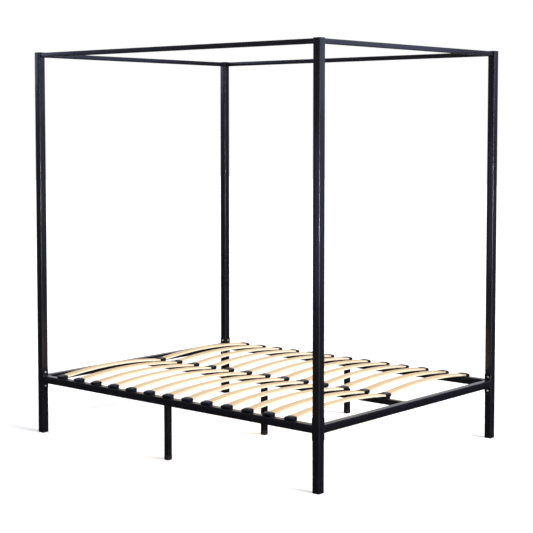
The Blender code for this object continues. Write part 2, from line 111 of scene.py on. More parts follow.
# ---------------------------------------------------------------------------
# Node helpers
# ---------------------------------------------------------------------------
class Wiring:
    """Short way to add and join nodes in one tree."""

    def __init__(self, tree: bpy.types.NodeTree) -> None:
        """Keep the tree that nodes are added to."""
        self.tree = tree

    def add(self, kind: str, inputs: Optional[Dict] = None, **props
            ) -> bpy.types.Node:
        """Add a node.

        Args:
            kind: The node's type name.
            inputs: Input name or index to a value or to a socket to join.
            **props: Properties of the node, set before its inputs.

        Returns:
            The new node.
        """
        node = self.tree.nodes.new(kind)
        for name, value in props.items():
            setattr(node, name, value)
        for key, value in (inputs or {}).items():
            if isinstance(value, Socket):
                self.tree.links.new(value, node.inputs[key])
            else:
                node.inputs[key].default_value = value
        return node

    def math(self, operation: str, *values: Number, clamp: bool = False
             ) -> Socket:
        """Join numbers or sockets in a Math node."""
        return self.add("ShaderNodeMath", dict(enumerate(values)),
                        operation=operation, use_clamp=clamp).outputs[0]

    def plus(self, first: Number, second: Number) -> Socket:
        """Sum of two numbers."""
        return self.math("ADD", first, second)

    def minus(self, first: Number, second: Number) -> Socket:
        """First number less the second."""
        return self.math("SUBTRACT", first, second)

    def times(self, first: Number, second: Number) -> Socket:
        """Product of two numbers."""
        return self.math("MULTIPLY", first, second)

    def weigh(self, first: Number, share: float, second: Number, rest: float
              ) -> Socket:
        """Sum of two numbers, each times its own share."""
        return self.plus(self.times(first, share), self.times(second, rest))

    def vector(self, operation: str, *values) -> Socket:
        """Join vectors or sockets in a Vector Math node."""
        return self.add("ShaderNodeVectorMath", dict(enumerate(values)),
                        operation=operation).outputs[0]

    def combine(self, **axes: Number) -> Socket:
        """A vector from the numbers given for X, Y or Z; the rest are 0."""
        return self.add("ShaderNodeCombineXYZ", axes).outputs[0]

    def noise(self, vector: Socket, scale: Number, detail: float = 3.0,
              roughness: float = 0.55) -> Socket:
        """Value of a noise texture over a vector."""
        return self.add("ShaderNodeTexNoise", {
            "Vector": vector, "Scale": scale, "Detail": detail,
            "Roughness": roughness}).outputs["Fac"]

    def spread(self, value: Socket, low: Number, high: Number,
               to_low: float = 0.0, to_high: float = 1.0) -> Socket:
        """Stretch a range of a value over another range, clamped."""
        return self.add("ShaderNodeMapRange", {
            "Value": value, "From Min": low, "From Max": high,
            "To Min": to_low, "To Max": to_high}).outputs["Result"]

    def blend(self, share: Number, first: Union[Colour, Socket],
              second: Union[Colour, Socket], mode: str = "MIX") -> Socket:
        """Mix two colours by a share."""
        ends = [c if isinstance(c, Socket) else (*c, 1.0)
                for c in (first, second)]
        return self.add("ShaderNodeMix", {0: share, 6: ends[0], 7: ends[1]},
                        data_type="RGBA", blend_type=mode).outputs[2]

    def attribute(self, name: str, output: str = "Fac") -> Socket:
        """An attribute of the mesh."""
        return self.add("ShaderNodeAttribute", attribute_name=name
                        ).outputs[output]

    def effect(self, group: bpy.types.NodeTree, **inputs: Number
               ) -> bpy.types.NodeOutputs:
        """Place an effect group with its own values."""
        return self.add("ShaderNodeGroup", inputs, node_tree=group).outputs


class NamedTree(Wiring):
    """A node tree with named inputs and outputs."""

    def __init__(self, name: str, kind: str, inputs: Dict[str, object],
                 outputs: Dict[str, str]) -> None:
        """Start the tree.

        Args:
            name: The tree's name.
            kind: Its type name.
            inputs: Each input's name, and its default number or, where it
                has none, its kind of socket.
            outputs: Each output's name and kind of socket.
        """
        super().__init__(bpy.data.node_groups.new(name, kind))
        face = self.tree.interface
        self.ids: Dict[str, str] = {}
        for label, value in inputs.items():
            sort = {int: "Int", float: "Float"}.get(type(value), value)
            socket = face.new_socket(label, in_out="INPUT",
                                     socket_type="NodeSocket%s" % sort)
            if sort != value:
                socket.default_value = value
            self.ids[label] = socket.identifier
        for label, sort in outputs.items():
            face.new_socket(label, in_out="OUTPUT",
                            socket_type="NodeSocket" + sort)
        self.given = self.add("NodeGroupInput").outputs
        self.out = self.add("NodeGroupOutput").inputs


class EffectGroup(NamedTree):
    """A shader node group whose outputs are all numbers."""

    def __init__(self, name: str, inputs: Dict[str, object], *outputs: str
                 ) -> None:
        """Start the group; the inputs are as in NamedTree."""
        super().__init__(name, "ShaderNodeTree", inputs,
                         dict.fromkeys(outputs, "Float"))

    def put(self, **results: Socket) -> bpy.types.NodeTree:
        """Join the results to the outputs of their names.

        Args:
            **results: Output name to the socket that feeds it.

        Returns:
            The finished group.
        """
        for label, socket in results.items():
            self.tree.links.new(socket, self.out[label])
        return self.tree


class Effects:
    """The shader node groups that the finishes share."""

    def __init__(self) -> None:
        """Build each group once."""
        self.orange_peel = self._orange_peel()
        self.edge_wear = self._edge_wear()
        self.dust = self._dust()
        self.smudges = self._smudges()
        self.wood_grain = self._wood_grain()
        self.ply_edge = self._ply_edge()

    @staticmethod
    def _orange_peel() -> bpy.types.NodeTree:
        """Fine pebbled skin of a baked powder coat or a moulded plastic."""
        w = EffectGroup("orange_peel", {"Vector": "Vector", "Scale": 700.0,
                                        "Speck": 0.3}, "Height", "Speckle")
        place, scale = w.given["Vector"], w.given["Scale"]
        fine = w.noise(place, scale, detail=2.0)
        broad = w.noise(place, w.times(scale, 0.22), detail=2.0)
        cells = w.add("ShaderNodeTexVoronoi", {
            "Vector": place, "Scale": w.times(scale, 0.6)})
        speck = w.spread(cells.outputs["Distance"], 0.0, 0.25, 1.0, 0.0)
        return w.put(Height=w.weigh(fine, 0.45, broad, 0.55),
                     Speckle=w.times(speck, w.given["Speck"]))

    @staticmethod
    def _edge_wear() -> bpy.types.NodeTree:
        """Rubbed corners, from the mesh's own edge attribute and a noise."""
        w = EffectGroup("edge_wear", {"Vector": "Vector", "Amount": 0.3,
                                      "Scale": 60.0}, "Mask")
        amount = w.given["Amount"]
        patch = w.noise(w.given["Vector"], w.given["Scale"], 4.0, 0.6)
        rubbed = w.spread(patch, w.minus(0.72, w.times(amount, 0.25)), 0.80)
        return w.put(Mask=w.math("MULTIPLY", w.attribute("edge"),
                                 w.times(rubbed, amount), clamp=True))

    @staticmethod
    def _dust() -> bpy.types.NodeTree:
        """Thin dust that settles on what faces up."""
        w = EffectGroup("dust", {"Vector": "Vector", "Amount": 0.1}, "Mask")
        normal = w.add("ShaderNodeNewGeometry").outputs["Normal"]
        split = w.add("ShaderNodeSeparateXYZ", {0: normal})
        up = w.spread(split.outputs["Z"], 0.35, 0.95)
        patch = w.spread(w.noise(w.given["Vector"], 22.0, 5.0, 0.65),
                         0.35, 0.75, 0.35, 1.0)
        return w.put(Mask=w.times(w.times(up, patch), w.given["Amount"]))

    @staticmethod
    def _smudges() -> bpy.types.NodeTree:
        """Slow changes of gloss left by hands and cloths."""
        w = EffectGroup("smudges", {"Vector": "Vector", "Low": 0.35,
                                    "High": 0.5}, "Roughness")
        slow = w.noise(w.given["Vector"], 3.5, 3.0, 0.5)
        quick = w.noise(w.given["Vector"], 38.0, 4.0, 0.6)
        share = w.spread(w.weigh(slow, 0.6, quick, 0.4), 0.35, 0.65)
        level = w.add("ShaderNodeMix", {0: share, 2: w.given["Low"],
                                        3: w.given["High"]})
        return w.put(Roughness=level.outputs[0])

    @staticmethod
    def _wood_grain() -> bpy.types.NodeTree:
        """Rotary-cut birch face: long streaks, soft figure and short pores.

        Its Vector runs along the slat in X, across it in Y, and Z changes
        from slat to slat.
        """
        w = EffectGroup("birch_grain", {"Vector": "Vector", "Figure": 1.0},
                        "Streak", "Pore", "Cloud")
        place = w.given["Vector"]

        def stretched(vector: Socket, along: float, across: float) -> Socket:
            """The vector at its own scale along and across the slat."""
            return w.vector("MULTIPLY", vector, (along, across, 1.0))

        bend = w.noise(stretched(place, 2.2, 9.0), 1.0, 2.0)
        bent = w.vector("ADD", place, w.combine(Y=w.times(
            w.minus(bend, 0.5), w.times(w.given["Figure"], 0.02))))
        streak = w.noise(stretched(bent, 3.0, 150.0), 1.0, 5.0, 0.62)
        figure = w.add("ShaderNodeTexWave", {
            "Vector": stretched(bent, 0.35, 9.0), "Scale": 2.2,
            "Distortion": 5.0, "Detail": 3.0, "Detail Scale": 0.8},
            bands_direction="Y").outputs["Fac"]
        pore = w.noise(stretched(place, 45.0, 1500.0), 1.0, 2.0, 0.5)
        cloud = w.noise(stretched(place, 5.0, 14.0), 1.0, 3.0, 0.5)
        return w.put(Streak=w.weigh(w.spread(streak, 0.3, 0.7), 0.6,
                                    figure, 0.4),
                     Pore=w.spread(pore, 0.60, 0.72),
                     Cloud=w.spread(cloud, 0.3, 0.7))

    @staticmethod
    def _ply_edge() -> bpy.types.NodeTree:
        """Layers and glue lines on the cut edge of a laminated slat."""
        w = EffectGroup("ply_edge", {"Depth": 0.5, "Layers": 7.0,
                                     "Vector": "Vector"},
                        "Glue", "Cross", "Side")
        wave = w.times(w.noise(w.given["Vector"], 12.0, 2.0), 0.06)
        level = w.times(w.plus(w.given["Depth"], wave), w.given["Layers"])
        near = w.math("ABSOLUTE", w.minus(w.math("FRACT", level), 0.5))
        odd = w.math("PINGPONG", w.math("FLOOR", level), 1.0)
        side = w.attribute("side")
        return w.put(Glue=w.times(w.spread(near, 0.40, 0.48), side),
                     Cross=w.times(w.math("GREATER_THAN", odd, 0.5), side),
                     Side=side)


# ---------------------------------------------------------------------------
# Finishes
# ---------------------------------------------------------------------------
def shade(colour: Colour, factor: float) -> Colour:
    """The colour with each channel times a factor."""
    return tuple(channel * factor for channel in colour)


class Finish:
    """Base of the finishes, which makes their materials."""

    name: str
    bump: Pair          # strength and distance

    def material(self, effects: Effects) -> Material:
        """Make the finish's material.

        Args:
            effects: The effect groups.

        Returns:
            The material, with one Principled BSDF.
        """
        made = bpy.data.materials.new(self.name)
        made.use_nodes = True
        made.node_tree.nodes.clear()
        w = Wiring(made.node_tree)
        inputs = self.wire(w, effects)
        bump = w.add("ShaderNodeBump", {
            "Height": inputs.pop("Height"), "Strength": self.bump[0],
            "Distance": self.bump[1]})
        shader = w.add("ShaderNodeBsdfPrincipled",
                       {**inputs, "Normal": bump.outputs[0]})
        w.add("ShaderNodeOutputMaterial", {"Surface": shader.outputs[0]})
        return made

    def wire(self, w: Wiring, effects: Effects) -> Dict[str, Number]:
        """The shader's inputs and the bump's Height; each finish has its own."""
        raise NotImplementedError

    @staticmethod
    def place(w: Wiring) -> Socket:
        """Object coordinates."""
        return w.add("ShaderNodeTexCoord").outputs["Object"]


@dataclass(frozen=True)
class PebbledSkin(Finish):
    """A black skin with a fine pebble, rubbed at its corners and dusty."""

    name: str
    colour: Colour
    gloss: Pair
    peel: Pair                      # scale and speck of the pebble
    speckle: float = 1.0
    worn: Colour = (0.0, 0.0, 0.0)
    wear: Wear = Wear.NONE
    wear_scale: float = 70.0
    dust: float = 0.0
    dust_roughness: float = 0.0
    specular: float = 0.5
    coat: float = 0.0
    coat_roughness: float = 0.03
    bump: Pair = (0.12, 0.0001)

    def wire(self, w: Wiring, effects: Effects) -> Dict[str, Number]:
        """Speckled colour, then the rubbed corners, then the dust.

        Args:
            w: The material's wiring.
            effects: The effect groups.

        Returns:
            The shader's inputs and the bump's Height.
        """
        place = self.place(w)
        peel = w.effect(effects.orange_peel, Vector=place, Scale=self.peel[0],
                        Speck=self.peel[1])
        worn = w.effect(effects.edge_wear, Vector=place,
                        Amount=self.wear.value, Scale=self.wear_scale)
        dust = w.effect(effects.dust, Vector=place, Amount=self.dust)["Mask"]
        gloss = w.effect(effects.smudges, Vector=place, Low=self.gloss[0],
                         High=self.gloss[1])
        base = w.blend(peel["Speckle"], self.colour,
                       shade(self.colour, self.speckle))
        base = w.blend(worn["Mask"], base, self.worn)
        rough = w.math("ADD", gloss["Roughness"],
                       w.times(dust, self.dust_roughness), clamp=True)
        return {"Base Color": w.blend(dust, base, DUST_COLOUR),
                "Roughness": rough, "Specular IOR Level": self.specular,
                "Coat Weight": self.coat,
                "Coat Roughness": self.coat_roughness,
                "Height": peel["Height"]}


@dataclass(frozen=True)
class PowderCoat(PebbledSkin):
    """Baked satin powder coat on steel, under a clear flow layer."""

    colour: Colour = (0.0034, 0.0032, 0.0060)
    gloss: Pair = (0.26, 0.34)
    peel: Pair = (900.0, 0.5)
    speckle: float = 1.7
    worn: Colour = (0.030, 0.030, 0.034)
    wear: Wear = Wear.NEW
    dust: float = 0.02
    dust_roughness: float = 0.8
    specular: float = 0.4
    coat: float = 0.35
    coat_roughness: float = 0.09


@dataclass(frozen=True)
class MouldedPlastic(PebbledSkin):
    """Injection moulded plastic, paler where it is scuffed."""

    colour: Colour = (0.004, 0.0045, 0.010)
    gloss: Pair = (0.18, 0.30)
    peel: Pair = (1400.0, 0.2)
    worn: Colour = (0.05, 0.05, 0.055)
    wear: Wear = Wear.LIGHT
    wear_scale: float = 130.0
    dust: float = 0.02


@dataclass(frozen=True)
class WeldSkin(PebbledSkin):
    """Coat over a weld bead, lumpier than on the tube."""

    colour: Colour = (0.006, 0.006, 0.0075)
    gloss: Pair = (0.34, 0.5)
    peel: Pair = (500.0, 0.6)
    speckle: float = 2.0
    bump: Pair = (0.5, 0.0003)


@dataclass(frozen=True)
class BirchPly(Finish):
    """Clear lacquered birch plywood with open cut edges."""

    name: str
    light: Colour = (0.93, 0.71, 0.42)
    dark: Colour = (0.84, 0.575, 0.295)
    edge: Colour = (0.82, 0.73, 0.59)
    cross: Colour = (0.76, 0.65, 0.50)
    glue: Colour = (0.52, 0.38, 0.24)
    toning: Colour = (0.80, 0.54, 0.30)
    layers: float = 7.0
    cloud_share: float = 0.25
    pore_share: float = 0.35
    pore_shade: float = 0.62
    glue_share: float = 0.75
    tone_share: float = 0.16
    roughness: Pair = (0.42, 0.54)
    specular: float = 0.35
    bump: Pair = (0.35, 0.00015)

    def wire(self, w: Wiring, effects: Effects) -> Dict[str, Number]:
        """Grain on the faces, layers on the edges, a tone for each slat.

        Args:
            w: The material's wiring.
            effects: The effect groups.

        Returns:
            The shader's inputs and the bump's Height.
        """
        place = w.attribute("grain", "Vector")
        grain = w.effect(effects.wood_grain, Vector=place, Figure=1.0)
        ply = w.effect(effects.ply_edge, Depth=w.attribute("depth"),
                       Layers=self.layers, Vector=place)
        streak, pore, glue = grain["Streak"], grain["Pore"], ply["Glue"]
        face = w.blend(streak, self.light, self.dark)
        face = w.blend(w.times(grain["Cloud"], self.cloud_share), face,
                       self.edge)
        face = w.blend(w.times(pore, self.pore_share), face,
                       shade(self.dark, self.pore_shade))
        cut = w.blend(ply["Cross"], self.edge, self.cross)
        cut = w.blend(w.times(glue, self.glue_share), cut, self.glue)
        base = w.blend(ply["Side"], face, cut)
        tone = w.spread(w.attribute("tone"), 0.0, 1.0, 0.0, self.tone_share)
        height = w.minus(w.times(streak, 0.4),
                         w.plus(pore, w.times(glue, 1.5)))
        return {"Base Color": w.blend(tone, base, self.toning, "MULTIPLY"),
                "Roughness": w.spread(streak, 0.0, 1.0, *self.roughness),
                "Specular IOR Level": self.specular, "Height": height}


@dataclass(frozen=True)
class ZincPlate(Finish):
    """Bright zinc plating on a bolt."""

    name: str
    colour: Colour = (0.72, 0.70, 0.66)
    dull: Colour = (0.42, 0.41, 0.40)
    gloss: Pair = (0.18, 0.38)
    metallic: float = 0.75
    bump: Pair = (0.15, 0.00005)

    def wire(self, w: Wiring, effects: Effects) -> Dict[str, Number]:
        """Cloudy bright metal, duller in patches.

        Args:
            w: The material's wiring.
            effects: The effect groups.

        Returns:
            The shader's inputs and the bump's Height.
        """
        place = self.place(w)
        gloss = w.effect(effects.smudges, Vector=place, Low=self.gloss[0],
                         High=self.gloss[1])
        peel = w.effect(effects.orange_peel, Vector=place, Scale=2200.0,
                        Speck=0.4)
        cloud = w.spread(w.noise(place, 240.0, 4.0, 0.6), 0.35, 0.7)
        return {"Base Color": w.blend(w.times(cloud, 0.6), self.colour,
                                      self.dull),
                "Roughness": gloss["Roughness"], "Metallic": self.metallic,
                "Height": peel["Height"]}


# ---------------------------------------------------------------------------
# Mesh helpers
# ---------------------------------------------------------------------------
def annotate(mesh: bpy.types.Mesh, name: str, values: Sequence[float],
             kind: str = "FLOAT", domain: str = "POINT") -> None:
    """Write a number or a vector for each point or face of a mesh."""
    layer = mesh.attributes.new(name, kind, domain)
    layer.data.foreach_set("value" if kind == "FLOAT" else "vector", values)


def edged_mesh() -> BMesh:
    """An empty mesh with the attribute that says how rubbed an edge is."""
    bm = bmesh.new()
    bm.verts.layers.float.new("edge")
    return bm


def skin(bm: BMesh, loops: Sequence[Loop], ring: bool = False,
         marks: Optional[Sequence[Sequence[float]]] = None) -> None:
    """Skin equal loops in order.

    Args:
        bm: The mesh that is added to.
        loops: The loops, all with the same number of points.
        ring: Whether the last loop joins the first; if not, both are filled.
        marks: The edge attribute of each point, if the mesh has one.
    """
    layer = bm.verts.layers.float.get("edge") if marks else None
    rows = []
    for number, loop in enumerate(loops):
        row = [bm.verts.new(point) for point in loop]
        if layer is not None:
            for vert, mark in zip(row, marks[number]):
                vert[layer] = mark
        rows.append(row)
    pairs = list(zip(rows, rows[1:]))
    if ring:
        pairs.append((rows[-1], rows[0]))
    count = len(rows[0])
    for low, high in pairs:
        for i in range(count):
            j = (i + 1) % count
            bm.faces.new((low[i], low[j], high[j], high[i]))
    if not ring:
        bm.faces.new(list(reversed(rows[0])))
        bm.faces.new(rows[-1])


class Stack:
    """Rounded cross sections laid along a line and skinned in order."""

    def __init__(self, turn: Matrix, rub: float, least: float = 0.0005
                 ) -> None:
        """Start with no section.

        Args:
            turn: Takes the sections, which lie across Z, to their place.
            rub: How rubbed the middle of a rounded corner is, from 0 to 1.
            least: The smallest corner radius.
        """
        self.turn, self.rub, self.least = turn, rub, least
        self.loops: List[Loop] = []
        self.marks: List[List[float]] = []

    def add(self, width: float, radius: float, z: float, mark: float,
            inset: float = 0.0, height: float = 0.0) -> None:
        """Add one section, counter-clockwise.

        Args:
            width: Size along X before the inset.
            radius: Corner radius before the inset.
            z: Where it lies.
            mark: How rubbed all of it is, from 0 to 1.
            inset: How far it is drawn in all round.
            height: Size along Y before the inset, if it isn't the width.
        """
        height = (height or width) - 2 * inset
        width -= 2 * inset
        radius = max(radius - inset, self.least)
        loop, marks = [], []
        for corner, (sx, sy) in enumerate(((1, 1), (-1, 1), (-1, -1), (1, -1))):
            cx, cy = sx * (width / 2 - radius), sy * (height / 2 - radius)
            for step in range(CORNER_STEPS + 1):
                angle = math.pi / 2 * (corner + step / CORNER_STEPS)
                loop.append(self.turn @ Vector((cx + radius * math.cos(angle),
                                                cy + radius * math.sin(angle),
                                                z)))
                bend = 1.0 - abs(2 * step / CORNER_STEPS - 1.0)
                marks.append(max(mark, bend * self.rub))
        self.loops.append(loop)
        self.marks.append(marks)

    def skin(self, bm: BMesh, ring: bool = False) -> None:
        """Skin the sections into a mesh, as skin() does."""
        skin(bm, self.loops, ring, self.marks)


def stand(name: str, mesh: bpy.types.Mesh, material: Material, sharp: float
          ) -> Object:
    """Dress a mesh and stand it in the scene at the origin.

    Args:
        name: The object's name.
        mesh: Its mesh.
        material: Its one material.
        sharp: Edges that turn more than this many degrees stay crisp.

    Returns:
        The object, smooth-shaded.
    """
    mesh.materials.append(material)
    mesh.shade_smooth()
    mesh.set_sharp_from_angle(angle=math.radians(sharp))
    piece = bpy.data.objects.new(name, mesh)
    bpy.context.scene.collection.objects.link(piece)
    return piece


def add_piece(name: str, bm: BMesh, material: Material, sharp: float = CRISP
              ) -> Object:
    """Turn a bmesh into a smooth-shaded object at the origin.

    Args:
        name: The object's name.
        bm: The mesh, which is freed.
        material: Its one material.
        sharp: Edges that turn more than this many degrees stay crisp.

    Returns:
        The object.
    """
    bmesh.ops.recalc_face_normals(bm, faces=bm.faces[:])
    mesh = bpy.data.meshes.new(name)
    bm.to_mesh(mesh)
    bm.free()
    return stand(name, mesh, material, sharp)


def plain_copy(name: str, source: Object, material: Material, sharp: float
               ) -> Object:
    """Freeze an object's evaluated shape into a plain mesh object.

    Args:
        name: The new object's name.
        source: The object with live modifiers, which is removed.
        material: The material kept on the mesh.
        sharp: Edges that turn more than this many degrees stay crisp.

    Returns:
        The plain object at the origin.
    """
    graph = bpy.context.evaluated_depsgraph_get()
    mesh = bpy.data.meshes.new_from_object(source.evaluated_get(graph),
                                           preserve_all_data_layers=True,
                                           depsgraph=graph)
    mesh.name = name
    mesh.transform(source.matrix_world)
    bpy.data.objects.remove(source, do_unlink=True)
    mesh.materials.clear()
    return stand(name, mesh, material, sharp)


def keep(piece: Object, slot: str, *nodes: str) -> None:
    """Attach a finished piece to the bed's body and hide the CAD nodes that it
    stands for.

    Args:
        piece: The piece, which rides on the bed's one body.
        slot: The name of a material slot; not used.
        *nodes: The CAD nodes that it stands for.
    """
    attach(piece, BODY)
    if nodes:
        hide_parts(*nodes)
    LOG.info("%s: %d faces, stands for %d", piece.name,
             len(piece.data.polygons), len(nodes))


# ---------------------------------------------------------------------------
# Geometry Nodes that make what repeats
# ---------------------------------------------------------------------------
class Repeater(NamedTree):
    """A Geometry Nodes tree with named inputs that makes a plain piece."""

    def __init__(self, name: str, inputs: Dict[str, object]) -> None:
        """Start the tree; the inputs are as in NamedTree."""
        super().__init__(name, "GeometryNodeTree", {
            "Geometry": "Geometry", **inputs, "Material": "Material"},
            {"Geometry": "Geometry"})

    def row(self) -> Socket:
        """Points in a straight row in Y, from the Count, First and Pitch."""
        return self.add("GeometryNodeMeshLine", {
            "Count": self.given["Count"],
            "Start Location": self.combine(Y=self.given["First"]),
            "Offset": self.combine(Y=self.given["Pitch"])},
            mode="OFFSET").outputs[0]

    def piece(self) -> Socket:
        """Shape of the Piece input."""
        return self.add("GeometryNodeObjectInfo", {
            "Object": self.given["Piece"]},
            transform_space="ORIGINAL").outputs["Geometry"]

    def chance(self) -> Socket:
        """A random number from 0 to 1 for each point, from the Seed."""
        return self.add("FunctionNodeRandomValue", {
            "ID": self.add("GeometryNodeInputIndex").outputs[0],
            "Seed": self.given["Seed"]}, data_type="FLOAT").outputs[1]

    def instances(self, points: Socket, shape: Socket, **more: Socket
                  ) -> Socket:
        """A copy of a shape on each point."""
        return self.add("GeometryNodeInstanceOnPoints", {
            "Points": points, "Instance": shape, **more}).outputs[0]

    def end(self, geometry: Socket) -> "Repeater":
        """Close the tree with Realize Instances and Set Material.

        Args:
            geometry: The instances.

        Returns:
            The tree itself.
        """
        real = self.add("GeometryNodeRealizeInstances", {0: geometry})
        dressed = self.add("GeometryNodeSetMaterial", {
            "Geometry": real.outputs[0], "Material": self.given["Material"]})
        self.tree.links.new(dressed.outputs[0], self.out[0])
        return self

    def run(self, name: str, values: Dict[str, object], material: Material,
            start: Optional[bpy.types.Mesh] = None, sharp: float = CRISP
            ) -> Object:
        """Make one plain piece from the tree.

        Args:
            name: The piece's name.
            values: Input name to value; an object given as Piece is removed.
            material: The piece's material.
            start: The mesh that the tree works on, or none.
            sharp: Edges that turn more than this many degrees stay crisp.

        Returns:
            The plain mesh object, with no modifier left.
        """
        mesh = start or bpy.data.meshes.new(name + "_start")
        carrier = bpy.data.objects.new(name + "_carrier", mesh)
        bpy.context.scene.collection.objects.link(carrier)
        step = carrier.modifiers.new("repeat", "NODES")
        step.node_group = self.tree
        for label, value in {**values, "Material": material}.items():
            step[self.ids[label]] = value
        carrier.data.update()
        made = plain_copy(name, carrier, material, sharp)
        if "Piece" in values:
            bpy.data.objects.remove(values["Piece"], do_unlink=True)
        return made


def slat_tree() -> Repeater:
    """Tree that bends a row of slats over a three-point arch."""
    w = Repeater("slat_row", {
        "Count": 13, "First": -0.85, "Pitch": 0.14, "Width": 0.053,
        "Thickness": 0.01, "Edge Radius": 0.0022, "Start": "Vector",
        "Middle": "Vector", "End": "Vector", "Drift": 0.0002, "Seed": 7})
    arc = w.add("GeometryNodeCurveArc", {
        "Resolution": 56, "Start": w.given["Start"],
        "Middle": w.given["Middle"], "End": w.given["End"]}, mode="POINTS")
    upright = w.add("GeometryNodeSetCurveNormal", {0: arc.outputs[0]},
                    mode="Z_UP")
    block = w.add("GeometryNodeCurvePrimitiveQuadrilateral", {
        "Width": w.given["Width"], "Height": w.given["Thickness"]},
        mode="RECTANGLE")
    soft = w.add("GeometryNodeFilletCurve", {
        "Curve": block.outputs[0], "Count": 4,
        "Radius": w.given["Edge Radius"]}, mode="POLY")
    strip = w.add("GeometryNodeCurveToMesh", {
        "Curve": upright.outputs[0], "Profile Curve": soft.outputs[0],
        "Fill Caps": True})
    drift = w.times(w.minus(w.chance(), 0.5), w.given["Drift"])
    moved = w.add("GeometryNodeSetPosition", {
        "Geometry": w.row(), "Offset": w.combine(Y=drift)})
    return w.end(w.instances(moved.outputs[0], strip.outputs[0]))


def row_tree() -> Repeater:
    """Tree that sets copies of one piece along a straight row in Y."""
    w = Repeater("piece_row", {"Piece": "Object", "Count": 13,
                               "First": -0.85, "Pitch": 0.14})
    return w.end(w.instances(w.row(), w.piece()))


def seat_tree(axis: str) -> Repeater:
    """Tree that sets a piece on each loose point of its start mesh.

    Args:
        axis: The piece's axis, Y or Z, that points the way the point faces.

    Returns:
        The tree.  Its Spin and Stretch are the most that a copy is turned
        about its own Z and shortened along X, by a seeded chance.
    """
    w = Repeater("seated_pieces_" + axis.lower(), {
        "Piece": "Object", "Spin": 0.0, "Stretch": 0.0, "Seed": 3})
    facing = w.add("GeometryNodeInputNamedAttribute", {"Name": "facing"},
                   data_type="FLOAT_VECTOR")
    aim = w.add("FunctionNodeAlignRotationToVector",
                {"Vector": facing.outputs[0]}, axis=axis)
    chance = w.chance()
    size = w.combine(X=w.minus(1.0, w.times(chance, w.given["Stretch"])),
                     Y=1.0, Z=1.0)
    placed = w.instances(w.given["Geometry"], w.piece(),
                         Rotation=aim.outputs[0], Scale=size)
    turned = w.add("GeometryNodeRotateInstances", {
        "Instances": placed,
        "Rotation": w.combine(Z=w.times(chance, w.given["Spin"]))})
    return w.end(turned.outputs[0])


def seats_mesh(name: str, seats: Sequence[Seat]) -> bpy.types.Mesh:
    """Loose points for seat_tree.

    Args:
        name: The mesh's name.
        seats: Each point and the way that it faces.

    Returns:
        The mesh, with the facing attribute.
    """
    mesh = bpy.data.meshes.new(name)
    mesh.from_pydata([tuple(place) for place, _ in seats], [], [])
    annotate(mesh, "facing", [c for _, way in seats for c in way], "FLOAT_VECTOR")
    return mesh


# ---------------------------------------------------------------------------
# Parts of the bed
# ---------------------------------------------------------------------------
@dataclass(frozen=True)
class BedSize:
    """Sizes that more than one part of the bed takes its place from."""

    width: float = 1.610
    length: float = 2.090
    height: float = 2.200
    post: float = 0.042
    base_tube: float = 0.040
    base_underside: float = 0.294
    centre_tube: float = 0.030
    canopy_tube: float = 0.025
    tube_wall: float = 0.0015
    cap_rim: float = 0.003
    foot_rim: float = 0.004

    @property
    def post_top(self) -> float:
        """Top of a post's tube."""
        return self.height - self.cap_rim - TOUCH

    @property
    def base_top(self) -> float:
        """Top of the four base rails."""
        return self.base_underside + self.base_tube

    @property
    def rail_x(self) -> float:
        """Middle of a side rail across the bed."""
        return self.middle(self.base_tube)[0]

    def middle(self, tube: float) -> Pair:
        """Middle of an outermost tube, across the bed and along it."""
        return self.width / 2 - tube / 2, self.length / 2 - tube / 2

    def sides(self, tube: float, z: float
              ) -> Iterable[Tuple[str, Run, Vector, float]]:
        """Where the rails of the four sides lie.

        Args:
            tube: Size of the outermost tube whose middle they follow.
            z: Their middle height.

        Returns:
            Side, run, middle and half length between the posts of each.
        """
        x, y = self.middle(tube)
        across, along = (span / 2 - self.post - TOUCH
                         for span in (self.width, self.length))
        return (("left", Run.ALONG, Vector((-x, 0, z)), along),
                ("right", Run.ALONG, Vector((x, 0, z)), along),
                ("foot", Run.ACROSS, Vector((0, -y, z)), across),
                ("head", Run.ACROSS, Vector((0, y, z)), across))


@dataclass
class SquareTube:
    """A straight square tube with rounded corners and soft cut ends."""

    name: str
    side: float
    wall: float
    corner: float
    start: float
    end: float
    run: Run
    middle: Sequence[float]
    cut: float = 0.0004
    rows: int = 8

    def build(self, coat: Material) -> Object:
        """Make the tube, a closed shell with its bore open.

        Args:
            coat: Its finish.

        Returns:
            The tube.
        """
        length = self.end - self.start
        sections = [(self.cut, self.start, 1.0),
                    (0.0, self.start + self.cut, 0.9)]
        sections += [(0.0, self.start + length * i / self.rows, 0.0)
                     for i in range(1, self.rows)]
        sections += [(0.0, self.end - self.cut, 0.9),
                     (self.cut, self.end, 1.0),
                     (self.wall, self.end, 0.6), (self.wall, self.start, 0.6)]
        stack = Stack(Matrix.Translation(self.middle) @ self.run.turn(), 0.9)
        for inset, z, mark in sections:
            stack.add(self.side, self.corner, z, mark, inset)
        bm = edged_mesh()
        stack.skin(bm, ring=True)
        return add_piece(self.name, bm, coat)


